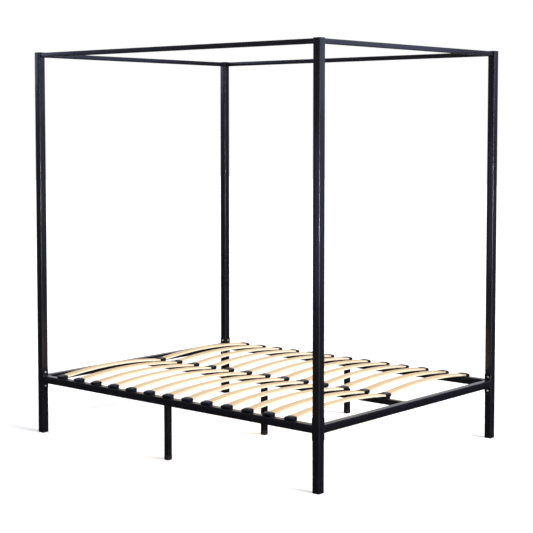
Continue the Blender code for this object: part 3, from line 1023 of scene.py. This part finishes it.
@dataclass
class Plug:
    """A moulded plug: a rim as wide as its tube and a ribbed spigot."""

    name: str
    rim_side: float
    rim_corner: float
    rim: float
    spigot_side: float
    spigot: float
    place: Matrix
    crown: float = 0.0006
    soft: float = 0.0011
    lip: float = 0.0002
    rib_pitch: float = 0.004

    def build(self, plastic: Material) -> Object:
        """Make the plug.

        Args:
            plastic: Its finish.

        Returns:
            The plug.
        """
        stack = Stack(self.place, 0.7, 0.0004)
        side, corner = self.rim_side, self.rim_corner
        for share in (0.30, 0.62):
            stack.add(side * share, corner * share, 0.0, 0.0)
        soft = min(self.soft, self.rim / 2)
        for step in range(5):
            angle = math.pi / 2 * step / 4
            inset = soft * (1 - math.sin(angle))
            stack.add(side - 2 * inset - (0 if step else self.crown),
                      corner - inset * 0.8, soft * (1 - math.cos(angle)),
                      1.0 if step < 4 else 0.5)
        stack.add(side, corner, self.rim - self.lip, 0.2)
        stack.add(side - 2 * self.lip, corner - self.lip, self.rim, 0.8)
        ribs = max(1, int(self.spigot / self.rib_pitch))
        rise = self.spigot / ribs
        for rib in range(ribs):
            low = self.rim + self.spigot * rib / ribs
            for slim, radius, share, mark in ((0.0012, 0.0010, 0.0, 0.0),
                                              (0.0000, 0.0012, 0.35, 0.3),
                                              (0.0010, 0.0010, 0.9, 0.0)):
                stack.add(self.spigot_side - slim, radius, low + rise * share,
                          mark)
        bm = edged_mesh()
        stack.skin(bm)
        return add_piece(self.name, bm, plastic)


@dataclass
class Posts:
    """The four corner posts with their caps and foot plugs."""

    size: BedSize
    corner: float = 0.003
    cap_spigot: float = 0.004
    foot_spigot: float = 0.018

    def build(self, coat: Material, cap: Material, foot: Material) -> None:
        """Make each post, cap and plug.

        Args:
            coat: Finish of the tubes.
            cap: Finish of the plugs in their tops.
            foot: Finish of the plugs in their feet.
        """
        s = self.size
        spigot = s.post - 2 * s.tube_wall - 2 * TOUCH
        post_x, post_y = s.middle(s.post)
        for name, x, y in (("foot_left", -post_x, -post_y),
                           ("foot_right", post_x, -post_y),
                           ("head_left", -post_x, post_y),
                           ("head_right", post_x, post_y)):
            tube = SquareTube("post_tube_" + name, s.post, s.tube_wall,
                              self.corner, s.foot_rim + TOUCH, s.post_top,
                              Run.UPRIGHT, (x, y, 0.0), rows=12)
            keep(tube.build(coat), "post_coat", "post_" + name)
            flip = (Matrix.Translation((x, y, s.height))
                    @ Matrix.Rotation(math.pi, 4, "X"))
            top = Plug("post_top_plug_" + name, s.post, self.corner,
                       s.cap_rim, spigot, self.cap_spigot, flip)
            keep(top.build(cap), "cap_plastic", "post_cap_" + name)
            base = Plug("post_foot_plug_" + name, s.post, self.corner,
                        s.foot_rim, spigot, self.foot_spigot,
                        Matrix.Translation((x, y, 0.0)))
            keep(base.build(foot), "foot_plastic", "post_plug_" + name)


@dataclass
class Canopy:
    """The four slim rails that join the post tops."""

    size: BedSize
    corner: float = 0.002

    def build(self, coat: Material) -> None:
        """Make each canopy rail.

        Args:
            coat: Their finish.
        """
        s = self.size
        z = s.post_top - s.canopy_tube / 2
        for side, run, middle, half in s.sides(s.post, z):
            tube = SquareTube("canopy_tube_" + side, s.canopy_tube,
                              s.tube_wall, self.corner, -half, half, run,
                              middle, rows=10)
            keep(tube.build(coat), "canopy_coat", "canopy_rail_" + side)


@dataclass
class BaseRails:
    """Side, foot and head rails with their welded plates, beads and bolts."""

    size: BedSize
    corner: float = 0.003
    plate_width: float = 0.038
    plate_height: float = 0.112
    plate_thick: float = 0.003
    plate_corner: float = 0.004
    plate_soft: float = 0.0005
    recess: float = 0.0005
    bolt_spacing: float = 0.079
    bolt_sides: int = 24
    head_radius: float = 0.0061
    head_height: float = 0.0041
    head_rim: float = 0.0006
    head_sink: float = 0.0004
    head_foot: float = 0.96         # radii of foot and dome to the head's
    head_dome: float = 0.99
    dome: Tuple[int, ...] = (14, 28, 42, 55, 64)        # degrees up the dome
    socket_radius: float = 0.0024
    socket: Tuple[Pair, ...] = ((1.12, 0.985), (1.0, 0.93), (1.0, 0.30),
                                (0.2, 0.22))            # reach and level
    bead_radius: float = 0.0022
    bead_steps: int = 30
    bead_sides: int = 8
    bead_sharp: float = 60.0
    bead_taper: Pair = (14.0, 0.35)     # growth from an end, start of it
    bead_ripple: Pair = (0.14, 2.1)     # depth, turn from step to step
    bead_skew: float = 0.0003

    def _plates(self, run: Run, middle: Vector, half: float) -> BMesh:
        """Two flange plates of one rail, each with softened edges.

        Args:
            run: The rail's run.
            middle: Its middle.
            half: Half its length.

        Returns:
            The mesh of both plates.
        """
        bm = edged_mesh()
        soft = self.plate_soft
        for sign in (-1, 1):
            stack = Stack(Matrix.Translation(middle) @ run.turn(), 0.0)
            for inset, depth in ((soft, 0.0), (0.0, soft),
                                 (0.0, self.plate_thick - soft),
                                 (soft, self.plate_thick)):
                stack.add(self.plate_height, self.plate_corner,
                          sign * (half - depth), 1.0 if inset else 0.85,
                          inset, self.plate_width)
            stack.skin(bm)
        return bm

    def _bolt(self, zinc: Material) -> Object:
        """One button head with a hexagon socket, standing on Z = 0.

        Args:
            zinc: Its finish.

        Returns:
            The head.
        """
        radius, height, rim = self.head_radius, self.head_height, self.head_rim

        def ring(reach: float, z: float, hexagon: bool) -> Loop:
            """Loop about Z.

            Args:
                reach: How far its corners, or all its points, lie from Z.
                z: Its height.
                hexagon: Whether it has six sides, or is round.

            Returns:
                The loop.
            """
            points = []
            for i in range(self.bolt_sides):
                angle = 2 * math.pi * i / self.bolt_sides
                inside = (angle % (math.pi / 3)) - math.pi / 6
                far = reach * (math.cos(math.pi / 6) / math.cos(inside)
                               if hexagon else 1.0)
                points.append(Vector((far * math.cos(angle),
                                      far * math.sin(angle), z)))
            return points

        profile = [(radius * self.head_foot, -self.head_sink), (radius, 0.0),
                   (radius, rim)]
        profile += [(radius * math.cos(a) * self.head_dome,
                     rim + (height - rim) * math.sin(a))
                    for a in map(math.radians, self.dome)]
        loops = [ring(reach, z, False) for reach, z in profile]
        loops += [ring(self.socket_radius * reach, height * level, True)
                  for reach, level in self.socket]
        bm = bmesh.new()
        skin(bm, loops)
        return add_piece("bolt_head_pattern", bm, zinc)

    def _bead(self, weld: Material) -> Object:
        """One weld bead lying along X on the corner of tube and plate.

        Args:
            weld: Its finish.

        Returns:
            The bead, tapered at its ends and rippled along its length.
        """
        length = self.plate_width - 2 * self.plate_corner
        growth, first = self.bead_taper
        depth, turn = self.bead_ripple
        rounds = [2 * math.pi * j / self.bead_sides
                  for j in range(self.bead_sides)]
        loops = []
        for i in range(self.bead_steps + 1):
            along = i / self.bead_steps - 0.5
            taper = min(1.0, (0.5 - abs(along)) * growth + first)
            ripple = 1.0 + depth * math.sin(i * turn)
            radius = self.bead_radius * taper * ripple
            loops.append([Vector((
                length * along + self.bead_skew * math.sin(angle),
                radius * math.cos(angle), radius * math.sin(angle)))
                for angle in rounds])
        bm = bmesh.new()
        skin(bm, loops)
        return add_piece("weld_bead_pattern", bm, weld, self.bead_sharp)

    def build(self, coat: Material, zinc: Material, weld: Material) -> None:
        """Make the rails, their plates, and the seated bolts and beads.

        Args:
            coat: Finish of the tubes and plates.
            zinc: Finish of the bolts.
            weld: Finish of the weld beads.
        """
        s = self.size
        bolt_seats: List[Seat] = []
        bead_seats: List[Seat] = []
        z = s.base_underside + s.base_tube / 2
        for side, run, middle, half in s.sides(s.base_tube, z):
            name = (side + "_rail" if run is Run.ACROSS
                    else "side_rail_" + side)
            end = half - self.recess
            tube = SquareTube(name + "_tube", s.base_tube, s.tube_wall,
                              self.corner, -end, end, run, middle, rows=12)
            keep(tube.build(coat), "rail_coat", name)
            plates = add_piece(name + "_plates",
                               self._plates(run, middle, half), coat)
            keep(plates, "rail_coat")
            turn = run.turn().to_3x3()
            for sign in (-1, 1):
                inward = turn @ Vector((0, 0, -sign))
                face = middle + turn @ Vector(
                    (0, 0, sign * (half - self.plate_thick)))
                for seats, spacing in ((bolt_seats, self.bolt_spacing),
                                       (bead_seats, s.base_tube)):
                    for way in (-1, 1):
                        lift = Vector((0, 0, way * spacing / 2))
                        seats.append((face + lift, inward))
        keep(seat_tree("Z").run(
            "rail_bolts", {"Piece": self._bolt(zinc), "Spin": math.pi / 3,
                           "Seed": 11}, zinc,
            seats_mesh("bolt_seats", bolt_seats)), "rail_coat")
        keep(seat_tree("Y").run(
            "rail_weld_beads", {"Piece": self._bead(weld), "Stretch": 0.08,
                                "Seed": 5}, weld,
            seats_mesh("bead_seats", bead_seats), self.bead_sharp),
            "rail_coat")


@dataclass
class MidSupport:
    """Centre rail, mid legs and their feet."""

    size: BedSize
    corner: float = 0.002
    leg_side: float = 0.030
    foot_height: float = 0.024
    foot_oversize: float = 0.0006
    foot_spigot: float = 0.016
    foot_soft: float = 0.0045

    def build(self, coat: Material, foot: Material) -> None:
        """Make the centre rail, then each leg with its foot.

        Args:
            coat: Finish of the tubes.
            foot: Finish of the feet.
        """
        s = self.size
        half = s.length / 2 - s.base_tube - TOUCH
        rail = SquareTube("centre_rail_tube", s.centre_tube, s.tube_wall,
                          self.corner, -half, half, Run.ALONG,
                          (0.0, 0.0, s.base_underside + s.centre_tube / 2),
                          rows=12)
        keep(rail.build(coat), "centre_coat", "centre_rail")
        for name, x in (("left", -s.rail_x), ("middle", 0.0),
                        ("right", s.rail_x)):
            leg = SquareTube("mid_leg_tube_" + name, self.leg_side,
                             s.tube_wall, self.corner,
                             self.foot_height + TOUCH,
                             s.base_underside - TOUCH, Run.UPRIGHT,
                             (x, 0.0, 0.0))
            keep(leg.build(coat), "leg_coat", "mid_leg_" + name)
            shoe = Plug("mid_leg_shoe_" + name,
                        self.leg_side + 2 * self.foot_oversize,
                        self.corner + self.foot_oversize, self.foot_height,
                        self.leg_side - 2 * s.tube_wall - 2 * TOUCH,
                        self.foot_spigot, Matrix.Translation((x, 0.0, 0.0)),
                        soft=self.foot_soft)
            keep(shoe.build(foot), "foot_plastic", "mid_leg_foot_" + name)


@dataclass
class SlatBed:
    """Two columns of arched slats and the holders that carry them."""

    size: BedSize
    pairs: int = 13
    width: float = 0.053
    thick: float = 0.010
    arch: float = 0.026
    edge_radius: float = 0.0022
    first_inset: float = 0.1535
    drift: float = 0.0002
    wall: float = 0.0022
    back: float = 0.0026
    floor: float = 0.0022
    crown: float = 0.0025
    shoulder: float = 0.003
    shoulder_from: float = 0.86
    depth: float = 0.032
    middle_depth: float = 0.046
    web: float = 0.003
    stem: float = 0.028
    rib_half: float = 0.0007
    rib_rise: float = 0.0006
    rib_sink: float = 0.001
    rib_places: Tuple[float, ...] = (-0.021, -0.0105, 0.0, 0.0105, 0.021)
    outer_rib: Pair = (0.006, 0.004)    # how far its ends stop short
    middle_rib: Pair = (0.004, 0.003)
    heel: Pair = (0.004, 0.005)         # corner cut off the back's foot
    back_round: Tuple[Pair, ...] = ((0.003, 0.0), (0.0012, 0.0008),
                                    (0.0, 0.003))
    mouth_past: float = 0.002
    crown_steps: int = 24
    edge_soft: float = 0.0005
    edge_turn: float = 25.0
    rubbed: float = 0.5
    sharp: float = 35.0

    def __post_init__(self) -> None:
        """Work out where the slats lie, from the rails and the holders."""
        s = self.size
        self.lean = self.thick * 4 * self.arch / s.rail_x
        self.outer_x = s.rail_x + self.depth / 2 - self.back - TOUCH - self.lean
        self.inner_x = self.web / 2 + TOUCH + self.lean
        self.end_z = s.base_top + self.floor + 2 * TOUCH
        self.first_y = -(s.length / 2 - s.post - self.first_inset)
        self.pitch = -2 * self.first_y / (self.pairs - 1)
        chord = self.outer_x - self.inner_x
        self.radius = (chord ** 2 / 4 + self.arch ** 2) / (2 * self.arch)
        self.half_angle = math.asin(chord / 2 / self.radius)
        self.middle_x = (self.outer_x + self.inner_x) / 2
        self.centre_z = self.end_z + self.arch - self.radius
        # The holders lean with the slat a twenty-fourth of its arc inward.
        self.slope = math.tan(self.half_angle * (1 - 1 / 12))
        self.cover = self.thick + TOUCH + self.wall

    def _slats(self, column: str, sign: int, ply: Material, tree: Repeater
               ) -> None:
        """Make one column of slats and mark its grain.

        Args:
            column: The column's name.
            sign: -1 for the left column and +1 for the right one.
            ply: The slats' finish.
            tree: The tree that makes a row of slats.
        """
        reach = self.radius + self.thick / 2
        places = [(sign * (self.middle_x + reach * math.sin(angle)), 0.0,
                   self.centre_z + reach * math.cos(angle))
                  for angle in (-self.half_angle, 0.0, self.half_angle)]
        piece = tree.run("slats_" + column, {
            "Count": self.pairs, "First": self.first_y, "Pitch": self.pitch,
            "Width": self.width, "Thickness": self.thick,
            "Edge Radius": self.edge_radius, "Start": places[0],
            "Middle": places[1], "End": places[2], "Drift": self.drift,
            "Seed": 7 if sign > 0 else 19}, ply, sharp=40.0)
        self._mark_grain(piece.data, sign)
        keep(piece, "slat_wood", *("slat_%s_%02d" % (column, number)
                                   for number in range(1, self.pairs + 1)))

    def _mark_grain(self, mesh: bpy.types.Mesh, sign: int) -> None:
        """Write each point's place in its own slat as attributes.

        Args:
            mesh: A column of slats.
            sign: -1 for the left column and +1 for the right one.
        """
        flat = np.empty(len(mesh.vertices) * 3)
        mesh.vertices.foreach_get("co", flat)
        co = flat.reshape(-1, 3)
        x = co[:, 0] * sign - self.middle_x
        rise = co[:, 2] - self.centre_z
        along = np.arctan2(x, rise) * self.radius
        depth = (np.hypot(x, rise) - self.radius) / self.thick
        number = np.clip(np.rint((co[:, 1] - self.first_y) / self.pitch), 0,
                         self.pairs - 1)
        across = co[:, 1] - (self.first_y + number * self.pitch)
        # The right column's slats are numbered on from 40, so that no two
        # slats of the bed share a stretch of grain or a tone.
        index = number + (40 if sign > 0 else 0)
        grain = np.stack([along, across + depth * 0.004, index * 3.7], axis=1)
        tone = np.mod(np.sin(index * 12.9898) * 43758.5453, 1.0)
        annotate(mesh, "grain", grain.astype(np.float32).ravel(), "FLOAT_VECTOR")
        annotate(mesh, "depth", depth.astype(np.float32))
        annotate(mesh, "tone", tone.astype(np.float32))
        flags = []
        for face in mesh.polygons:
            up = Vector((sign * (face.center.x * sign - self.middle_x), 0.0,
                         face.center.z - self.centre_z)).normalized()
            flags.append(0.0 if abs(face.normal.dot(up)) > 0.72 else 1.0)
        annotate(mesh, "side", flags, domain="FACE")

    def _line(self, inward: float, lift: float) -> float:
        """Height of the slat's end stretch, inward of its end, plus a lift."""
        return self.end_z + self.slope * inward + lift * math.hypot(1, self.slope)

    def _roof_rise(self, share: float) -> float:
        """Rise of a holder's top; share is 0 in the middle and 1 at a side."""
        fall = max(0.0, (share - self.shoulder_from) / (1 - self.shoulder_from))
        return self.crown * (1 - share ** 2) - self.shoulder * fall ** 2

    def _carve(self, name: str, outline: Sequence[Pair], roof: Sequence[int],
               mouths: Sequence[Sequence[Pair]], ribs: Sequence[Sequence[Pair]],
               plastic: Material) -> Object:
        """Make one holder: a crowned block with mouths, ribs and soft edges.

        Args:
            name: The holder's name.
            outline: The block's outline in X and Z.
            roof: Which points of the outline follow the crowned top.
            mouths: Outlines of what the slat ends take.
            ribs: Outlines of the thin ribs along the slat on the top.
            plastic: Its material.

        Returns:
            The holder, centred on Y = 0, with its modifiers applied.
        """
        mouth = self.width / 2 + TOUCH
        half = mouth + self.wall

        def solid(label: str, outlines: Sequence[Sequence[Pair]],
                  ranges: Sequence[Pair], follow: Sequence[int] = ()
                  ) -> Object:
            """Sweep outlines along Y.

            Args:
                label: The solid's name.
                outlines: Outlines in X and Z.
                ranges: Where each sweep starts and ends.
                follow: Which points of an outline follow the crown.

            Returns:
                The solid.
            """
            bm = bmesh.new()
            for low, high in ranges:
                long = follow and high - low > half
                steps = self.crown_steps if long else 1
                for shape in outlines:
                    loops = []
                    for i in range(steps + 1):
                        y = low + (high - low) * (1 - math.cos(
                            math.pi * i / steps)) / 2
                        rise = self._roof_rise(min(1.0, abs(y) / half))
                        loops.append([Vector((x, y, z + (
                            rise if index in follow else 0.0)))
                            for index, (x, z) in enumerate(shape)])
                    skin(bm, loops)
            return add_piece(label, bm, plastic)

        holder = solid(name, [outline], [(-half, half)], roof)
        hollow = solid(name + "_mouths", mouths, [(-mouth, mouth)])
        edges = solid(name + "_ribs", ribs,
                      [(y - self.rib_half, y + self.rib_half)
                       for y in self.rib_places], range(4))
        for tool, operation in ((edges, "UNION"), (hollow, "DIFFERENCE")):
            step = holder.modifiers.new(operation.lower(), "BOOLEAN")
            step.operation = operation
            step.solver = "EXACT"
            step.object = tool
        bevel = holder.modifiers.new("soft_edges", "BEVEL")
        bevel.width = self.edge_soft
        bevel.segments = 2
        bevel.limit_method = "ANGLE"
        bevel.angle_limit = math.radians(self.edge_turn)
        made = plain_copy(name, holder, plastic, self.sharp)
        for tool in (hollow, edges):
            bpy.data.objects.remove(tool, do_unlink=True)
        annotate(made.data, "edge", [self.rubbed] * len(made.data.vertices))
        return made

    def _mouth(self, end_x: float, inward: int, reach: float) -> List[Pair]:
        """Outline of the space that a slat end needs in its holder.

        Args:
            end_x: Where the slat ends.
            inward: -1 or +1, the way from its end to its middle.
            reach: How far the space goes inward.

        Returns:
            Its four corners in X and Z.
        """
        back = -(TOUCH + self.lean)
        over = self.thick + TOUCH
        return [(end_x + inward * run, self._line(run, lift))
                for run, lift in ((back, -TOUCH), (reach, -TOUCH),
                                  (reach, over), (back, over))]

    def _rib(self, near: Pair, far: Pair) -> List[Pair]:
        """Outline of a rib along a holder's top.

        Args:
            near: X and height of the top at the rib's outer end.
            far: The same at its other end.

        Returns:
            Its four corners in X and Z.
        """
        return [(x, z + rise) for (x, z), rise in (
            (near, -self.rib_sink), (far, -self.rib_sink),
            (far, self.rib_rise), (near, self.rib_rise))]

    def _outer_holder(self, column: str, sign: int, plastic: Material
                      ) -> Object:
        """Holder of an outer rail: closed outside, open inside.

        Args:
            column: The column's name.
            sign: -1 for the left column and +1 for the right one.
            plastic: The holder's finish.

        Returns:
            The holder.
        """
        floor = self.size.base_top + TOUCH
        back_x = sign * (self.size.rail_x + self.depth / 2)
        mouth_x = sign * (self.size.rail_x - self.depth / 2)
        end = -(self.back + TOUCH + self.lean)

        def top(inset: float, drop: float = 0.0) -> Pair:
            """Point of the top, inset from the back and let down."""
            return (back_x - sign * inset,
                    self._line(end + inset, self.cover) - drop)

        inner = (mouth_x, self._line(end + self.depth, self.cover))
        heel_x, heel_z = self.heel
        outline = [(back_x - sign * heel_x, floor), (mouth_x, floor), inner,
                   *(top(inset, drop) for inset, drop in self.back_round),
                   (back_x, floor + heel_z)]
        near, far = self.outer_rib
        rib = self._rib(top(near), (mouth_x + sign * far, self._line(
            end + self.depth - far, self.cover)))
        return self._carve("holder_pattern_" + column, outline, (2, 3, 4, 5),
                           [self._mouth(sign * self.outer_x, -sign,
                                        self.depth + self.mouth_past)],
                           [rib], plastic)

    def _middle_holder(self, plastic: Material) -> Object:
        """Double holder of the centre rail, on its stem.

        Args:
            plastic: The holder's finish.

        Returns:
            The holder.
        """
        floor = self.size.base_underside + self.size.centre_tube + TOUCH
        half = self.middle_depth / 2
        under = self.end_z - TOUCH - self.floor
        stem = self.stem / 2

        def top(x: float) -> float:
            """Height of the top over a point's distance from the middle."""
            return self._line(x - self.inner_x, self.cover)

        outline = [(-stem, floor), (stem, floor), (stem, under), (half, under),
                   (half, top(half)), (0.0, top(0.0)), (-half, top(half)),
                   (-half, under), (-stem, under)]
        near, far = self.middle_rib[0], half - self.middle_rib[1]
        ribs = [self._rib((side * near, top(near)), (side * far, top(far)))
                for side in (-1, 1)]
        mouths = [self._mouth(side * self.inner_x, side,
                              half + self.mouth_past) for side in (1, -1)]
        return self._carve("holder_pattern_middle", outline, (4, 5, 6), mouths,
                           ribs, plastic)

    def build(self, ply: Material, plastic: Material) -> None:
        """Make both columns of slats and the three rows of holders.

        Args:
            ply: Finish of the slats.
            plastic: Finish of the holders.
        """
        slats, rows = slat_tree(), row_tree()
        for column, sign in (("left", -1), ("right", 1)):
            self._slats(column, sign, ply, slats)
        patterns = {"left": self._outer_holder("left", -1, plastic),
                    "right": self._outer_holder("right", 1, plastic),
                    "middle": self._middle_holder(plastic)}
        for row, pattern in patterns.items():
            piece = rows.run("holders_" + row, {
                "Piece": pattern, "Count": self.pairs, "First": self.first_y,
                "Pitch": self.pitch}, plastic, sharp=self.sharp)
            keep(piece, "holder_plastic", "slat_holders_" + row)


# ---------------------------------------------------------------------------
# Studio
# ---------------------------------------------------------------------------
def shine(data: bpy.types.Light, way: Vector, place: Place = (0.0, 0.0, 0.0)
          ) -> Object:
    """Stand a light in the scene.

    Args:
        data: The light.
        way: The way that it shines.
        place: Where it stands.

    Returns:
        The lamp.
    """
    lamp = bpy.data.objects.new(data.name, data)
    lamp.location = place
    lamp.rotation_euler = way.to_track_quat("-Z", "Y").to_euler()
    bpy.context.scene.collection.objects.link(lamp)
    return lamp


@dataclass(frozen=True)
class SoftBox:
    """A studio light that is aimed at a point."""

    name: str
    place: Place
    aim: Place
    size: float
    power: float
    colour: Colour
    tall: float = 1.0
    sheen_only: bool = False

    def build(self) -> None:
        """Add the light, hidden from the camera."""
        data = bpy.data.lights.new(self.name, "AREA")
        data.shape = "RECTANGLE"
        data.size = self.size
        data.size_y = self.size * self.tall
        data.energy = self.power
        data.color = self.colour
        lamp = shine(data, Vector(self.aim) - Vector(self.place), self.place)
        lamp.visible_camera = False
        lamp.visible_diffuse = not self.sheen_only


SOFT_BOXES = (
    SoftBox("panel_right", (4.4, -5.3, 3.4), (0.3, -0.4, 2.0), 3.0, 42.0,
            (0.56, 0.60, 1.0)),
    SoftBox("panel_right_low", (4.2, -5.2, 1.0), (0.3, -0.4, 1.2), 1.7, 4.5,
            (0.62, 0.62, 1.0)),
    SoftBox("panel_left", (-6.0, 2.5, 0.9), (0.0, -1.0, 1.2), 1.5, 7.5,
            (0.66, 0.62, 1.0)),
    SoftBox("panel_rear", (-4.3, 6.2, 3.0), (-0.6, 0.6, 2.0), 1.6, 22.0,
            (0.60, 0.64, 1.0)),
    SoftBox("strip_front", (-2.6, -7.05, 1.0), (0.0, 0.0, 1.3), 0.30, 560.0,
            (1.0, 0.98, 0.97), 2.4, True))


@dataclass
class Studio:
    """Pale floor, soft light and the camera."""

    floor_size: float = 60.0
    floor_colour: Colour = (0.90, 0.90, 0.90)
    floor_roughness: float = 0.9
    floor_glow: float = 0.48
    lens: float = 92.30
    sensor: float = 36.0
    clip_end: float = 200.0
    camera_place: Place = (-5.8957, -5.1039, 1.7792)
    camera_tilt: float = -3.649
    camera_turn: float = -49.211
    camera_shift: float = -0.10
    air: float = 0.22
    air_colour: Colour = (0.93, 0.95, 1.0)
    key: float = 4.15
    key_softness: float = 24.0
    key_way: Place = (-0.10, 0.77, -0.63)
    rear_glow: float = 0.6

    def floor(self) -> None:
        """A large plain floor that mirrors nothing and shows in no mirror."""
        bm = bmesh.new()
        bmesh.ops.create_grid(bm, x_segments=1, y_segments=1,
                              size=self.floor_size / 2)
        material = bpy.data.materials.new("studio_floor")
        material.use_nodes = True
        shader = material.node_tree.nodes["Principled BSDF"]
        for label, value in (("Base Color", (*self.floor_colour, 1.0)),
                             ("Roughness", self.floor_roughness),
                             ("Specular IOR Level", 0.0),
                             ("Emission Color", (1.0, 1.0, 1.0, 1.0)),
                             ("Emission Strength", self.floor_glow)):
            shader.inputs[label].default_value = value
        sheet = add_piece("studio_floor", bm, material)
        sheet.visible_glossy = False

    def world(self) -> None:
        """White for the eye; dim and banded for light and reflections."""
        world = bpy.data.worlds.new("studio_air")
        bpy.context.scene.world = world
        world.use_nodes = True
        world.node_tree.nodes.clear()
        w = Wiring(world.node_tree)
        way = w.add("ShaderNodeTexCoord").outputs["Generated"]
        axes = w.add("ShaderNodeSeparateXYZ", {0: way}).outputs
        rise = w.spread(axes["Z"], -0.25, 0.25, 0.02, self.air)
        rear = w.weigh(axes["X"], 0.76, axes["Y"], 0.65)
        low_band = w.times(w.spread(rear, 0.35, 0.8),
                           w.times(w.spread(axes["Z"], -0.06, 0.0),
                                   w.spread(axes["Z"], 0.55, 0.2)))
        dim = w.add("ShaderNodeBackground", {
            "Color": (*self.air_colour, 1.0),
            "Strength": w.plus(rise, w.times(low_band, self.rear_glow))})
        white = w.add("ShaderNodeBackground", {
            "Color": (1.0, 1.0, 1.0, 1.0), "Strength": 1.0})
        eye = w.add("ShaderNodeLightPath").outputs["Is Camera Ray"]
        both = w.add("ShaderNodeMixShader", {
            0: eye, 1: dim.outputs[0], 2: white.outputs[0]})
        w.add("ShaderNodeOutputWorld", {"Surface": both.outputs[0]})

    def lights(self) -> None:
        """A broad sun from the foot end, and the panels and strip."""
        for box in SOFT_BOXES:
            box.build()
        data = bpy.data.lights.new("key_overhead", "SUN")
        data.energy = self.key
        data.angle = math.radians(self.key_softness)
        shine(data, Vector(self.key_way)).visible_glossy = False

    def camera(self) -> None:
        """The camera, at a standing person's eye height."""
        data = bpy.data.cameras.new("studio_camera")
        data.lens = self.lens
        data.sensor_width = self.sensor
        data.shift_y = self.camera_shift
        data.dof.use_dof = False
        data.clip_end = self.clip_end
        eye = bpy.data.objects.new("studio_camera", data)
        eye.location = self.camera_place
        eye.rotation_euler = (math.radians(90 + self.camera_tilt), 0.0,
                              math.radians(self.camera_turn))
        bpy.context.scene.collection.objects.link(eye)
        bpy.context.scene.camera = eye

    def build(self) -> None:
        """Set the whole studio up."""
        self.floor()
        self.world()
        self.lights()
        self.camera()
        view = bpy.context.scene.view_settings
        view.view_transform = "Standard"
        view.look = "None"


def main() -> None:
    """Build the bed part by part and stand it in the studio."""
    logging.basicConfig(level=logging.INFO, format="%(name)s %(message)s")
    size = BedSize()
    effects = Effects()
    post_coat = PowderCoat("post_powder_coat").material(effects)
    canopy_coat = PowderCoat("canopy_powder_coat").material(effects)
    rail_coat = PowderCoat("rail_powder_coat", wear=Wear.LIGHT).material(effects)
    leg_coat = PowderCoat("leg_powder_coat", wear=Wear.LIGHT).material(effects)
    ply = BirchPly("birch_ply").material(effects)
    holder = MouldedPlastic("holder_plastic", coat=0.3).material(effects)
    cap = MouldedPlastic("cap_plastic", colour=(0.006, 0.006, 0.008),
                         gloss=(0.34, 0.46)).material(effects)
    shoe = MouldedPlastic("foot_plastic", colour=(0.010, 0.010, 0.012),
                          gloss=(0.40, 0.55), wear=Wear.FLOOR,
                          worn=(0.09, 0.09, 0.09)).material(effects)
    zinc = ZincPlate("bolt_zinc").material(effects)
    weld = WeldSkin("weld_coat").material(effects)

    Posts(size).build(post_coat, cap, shoe)
    Canopy(size).build(canopy_coat)
    BaseRails(size).build(rail_coat, zinc, weld)
    MidSupport(size).build(leg_coat, shoe)
    SlatBed(size).build(ply, holder)
    Studio().build()


if __name__ == "__main__":
    main()
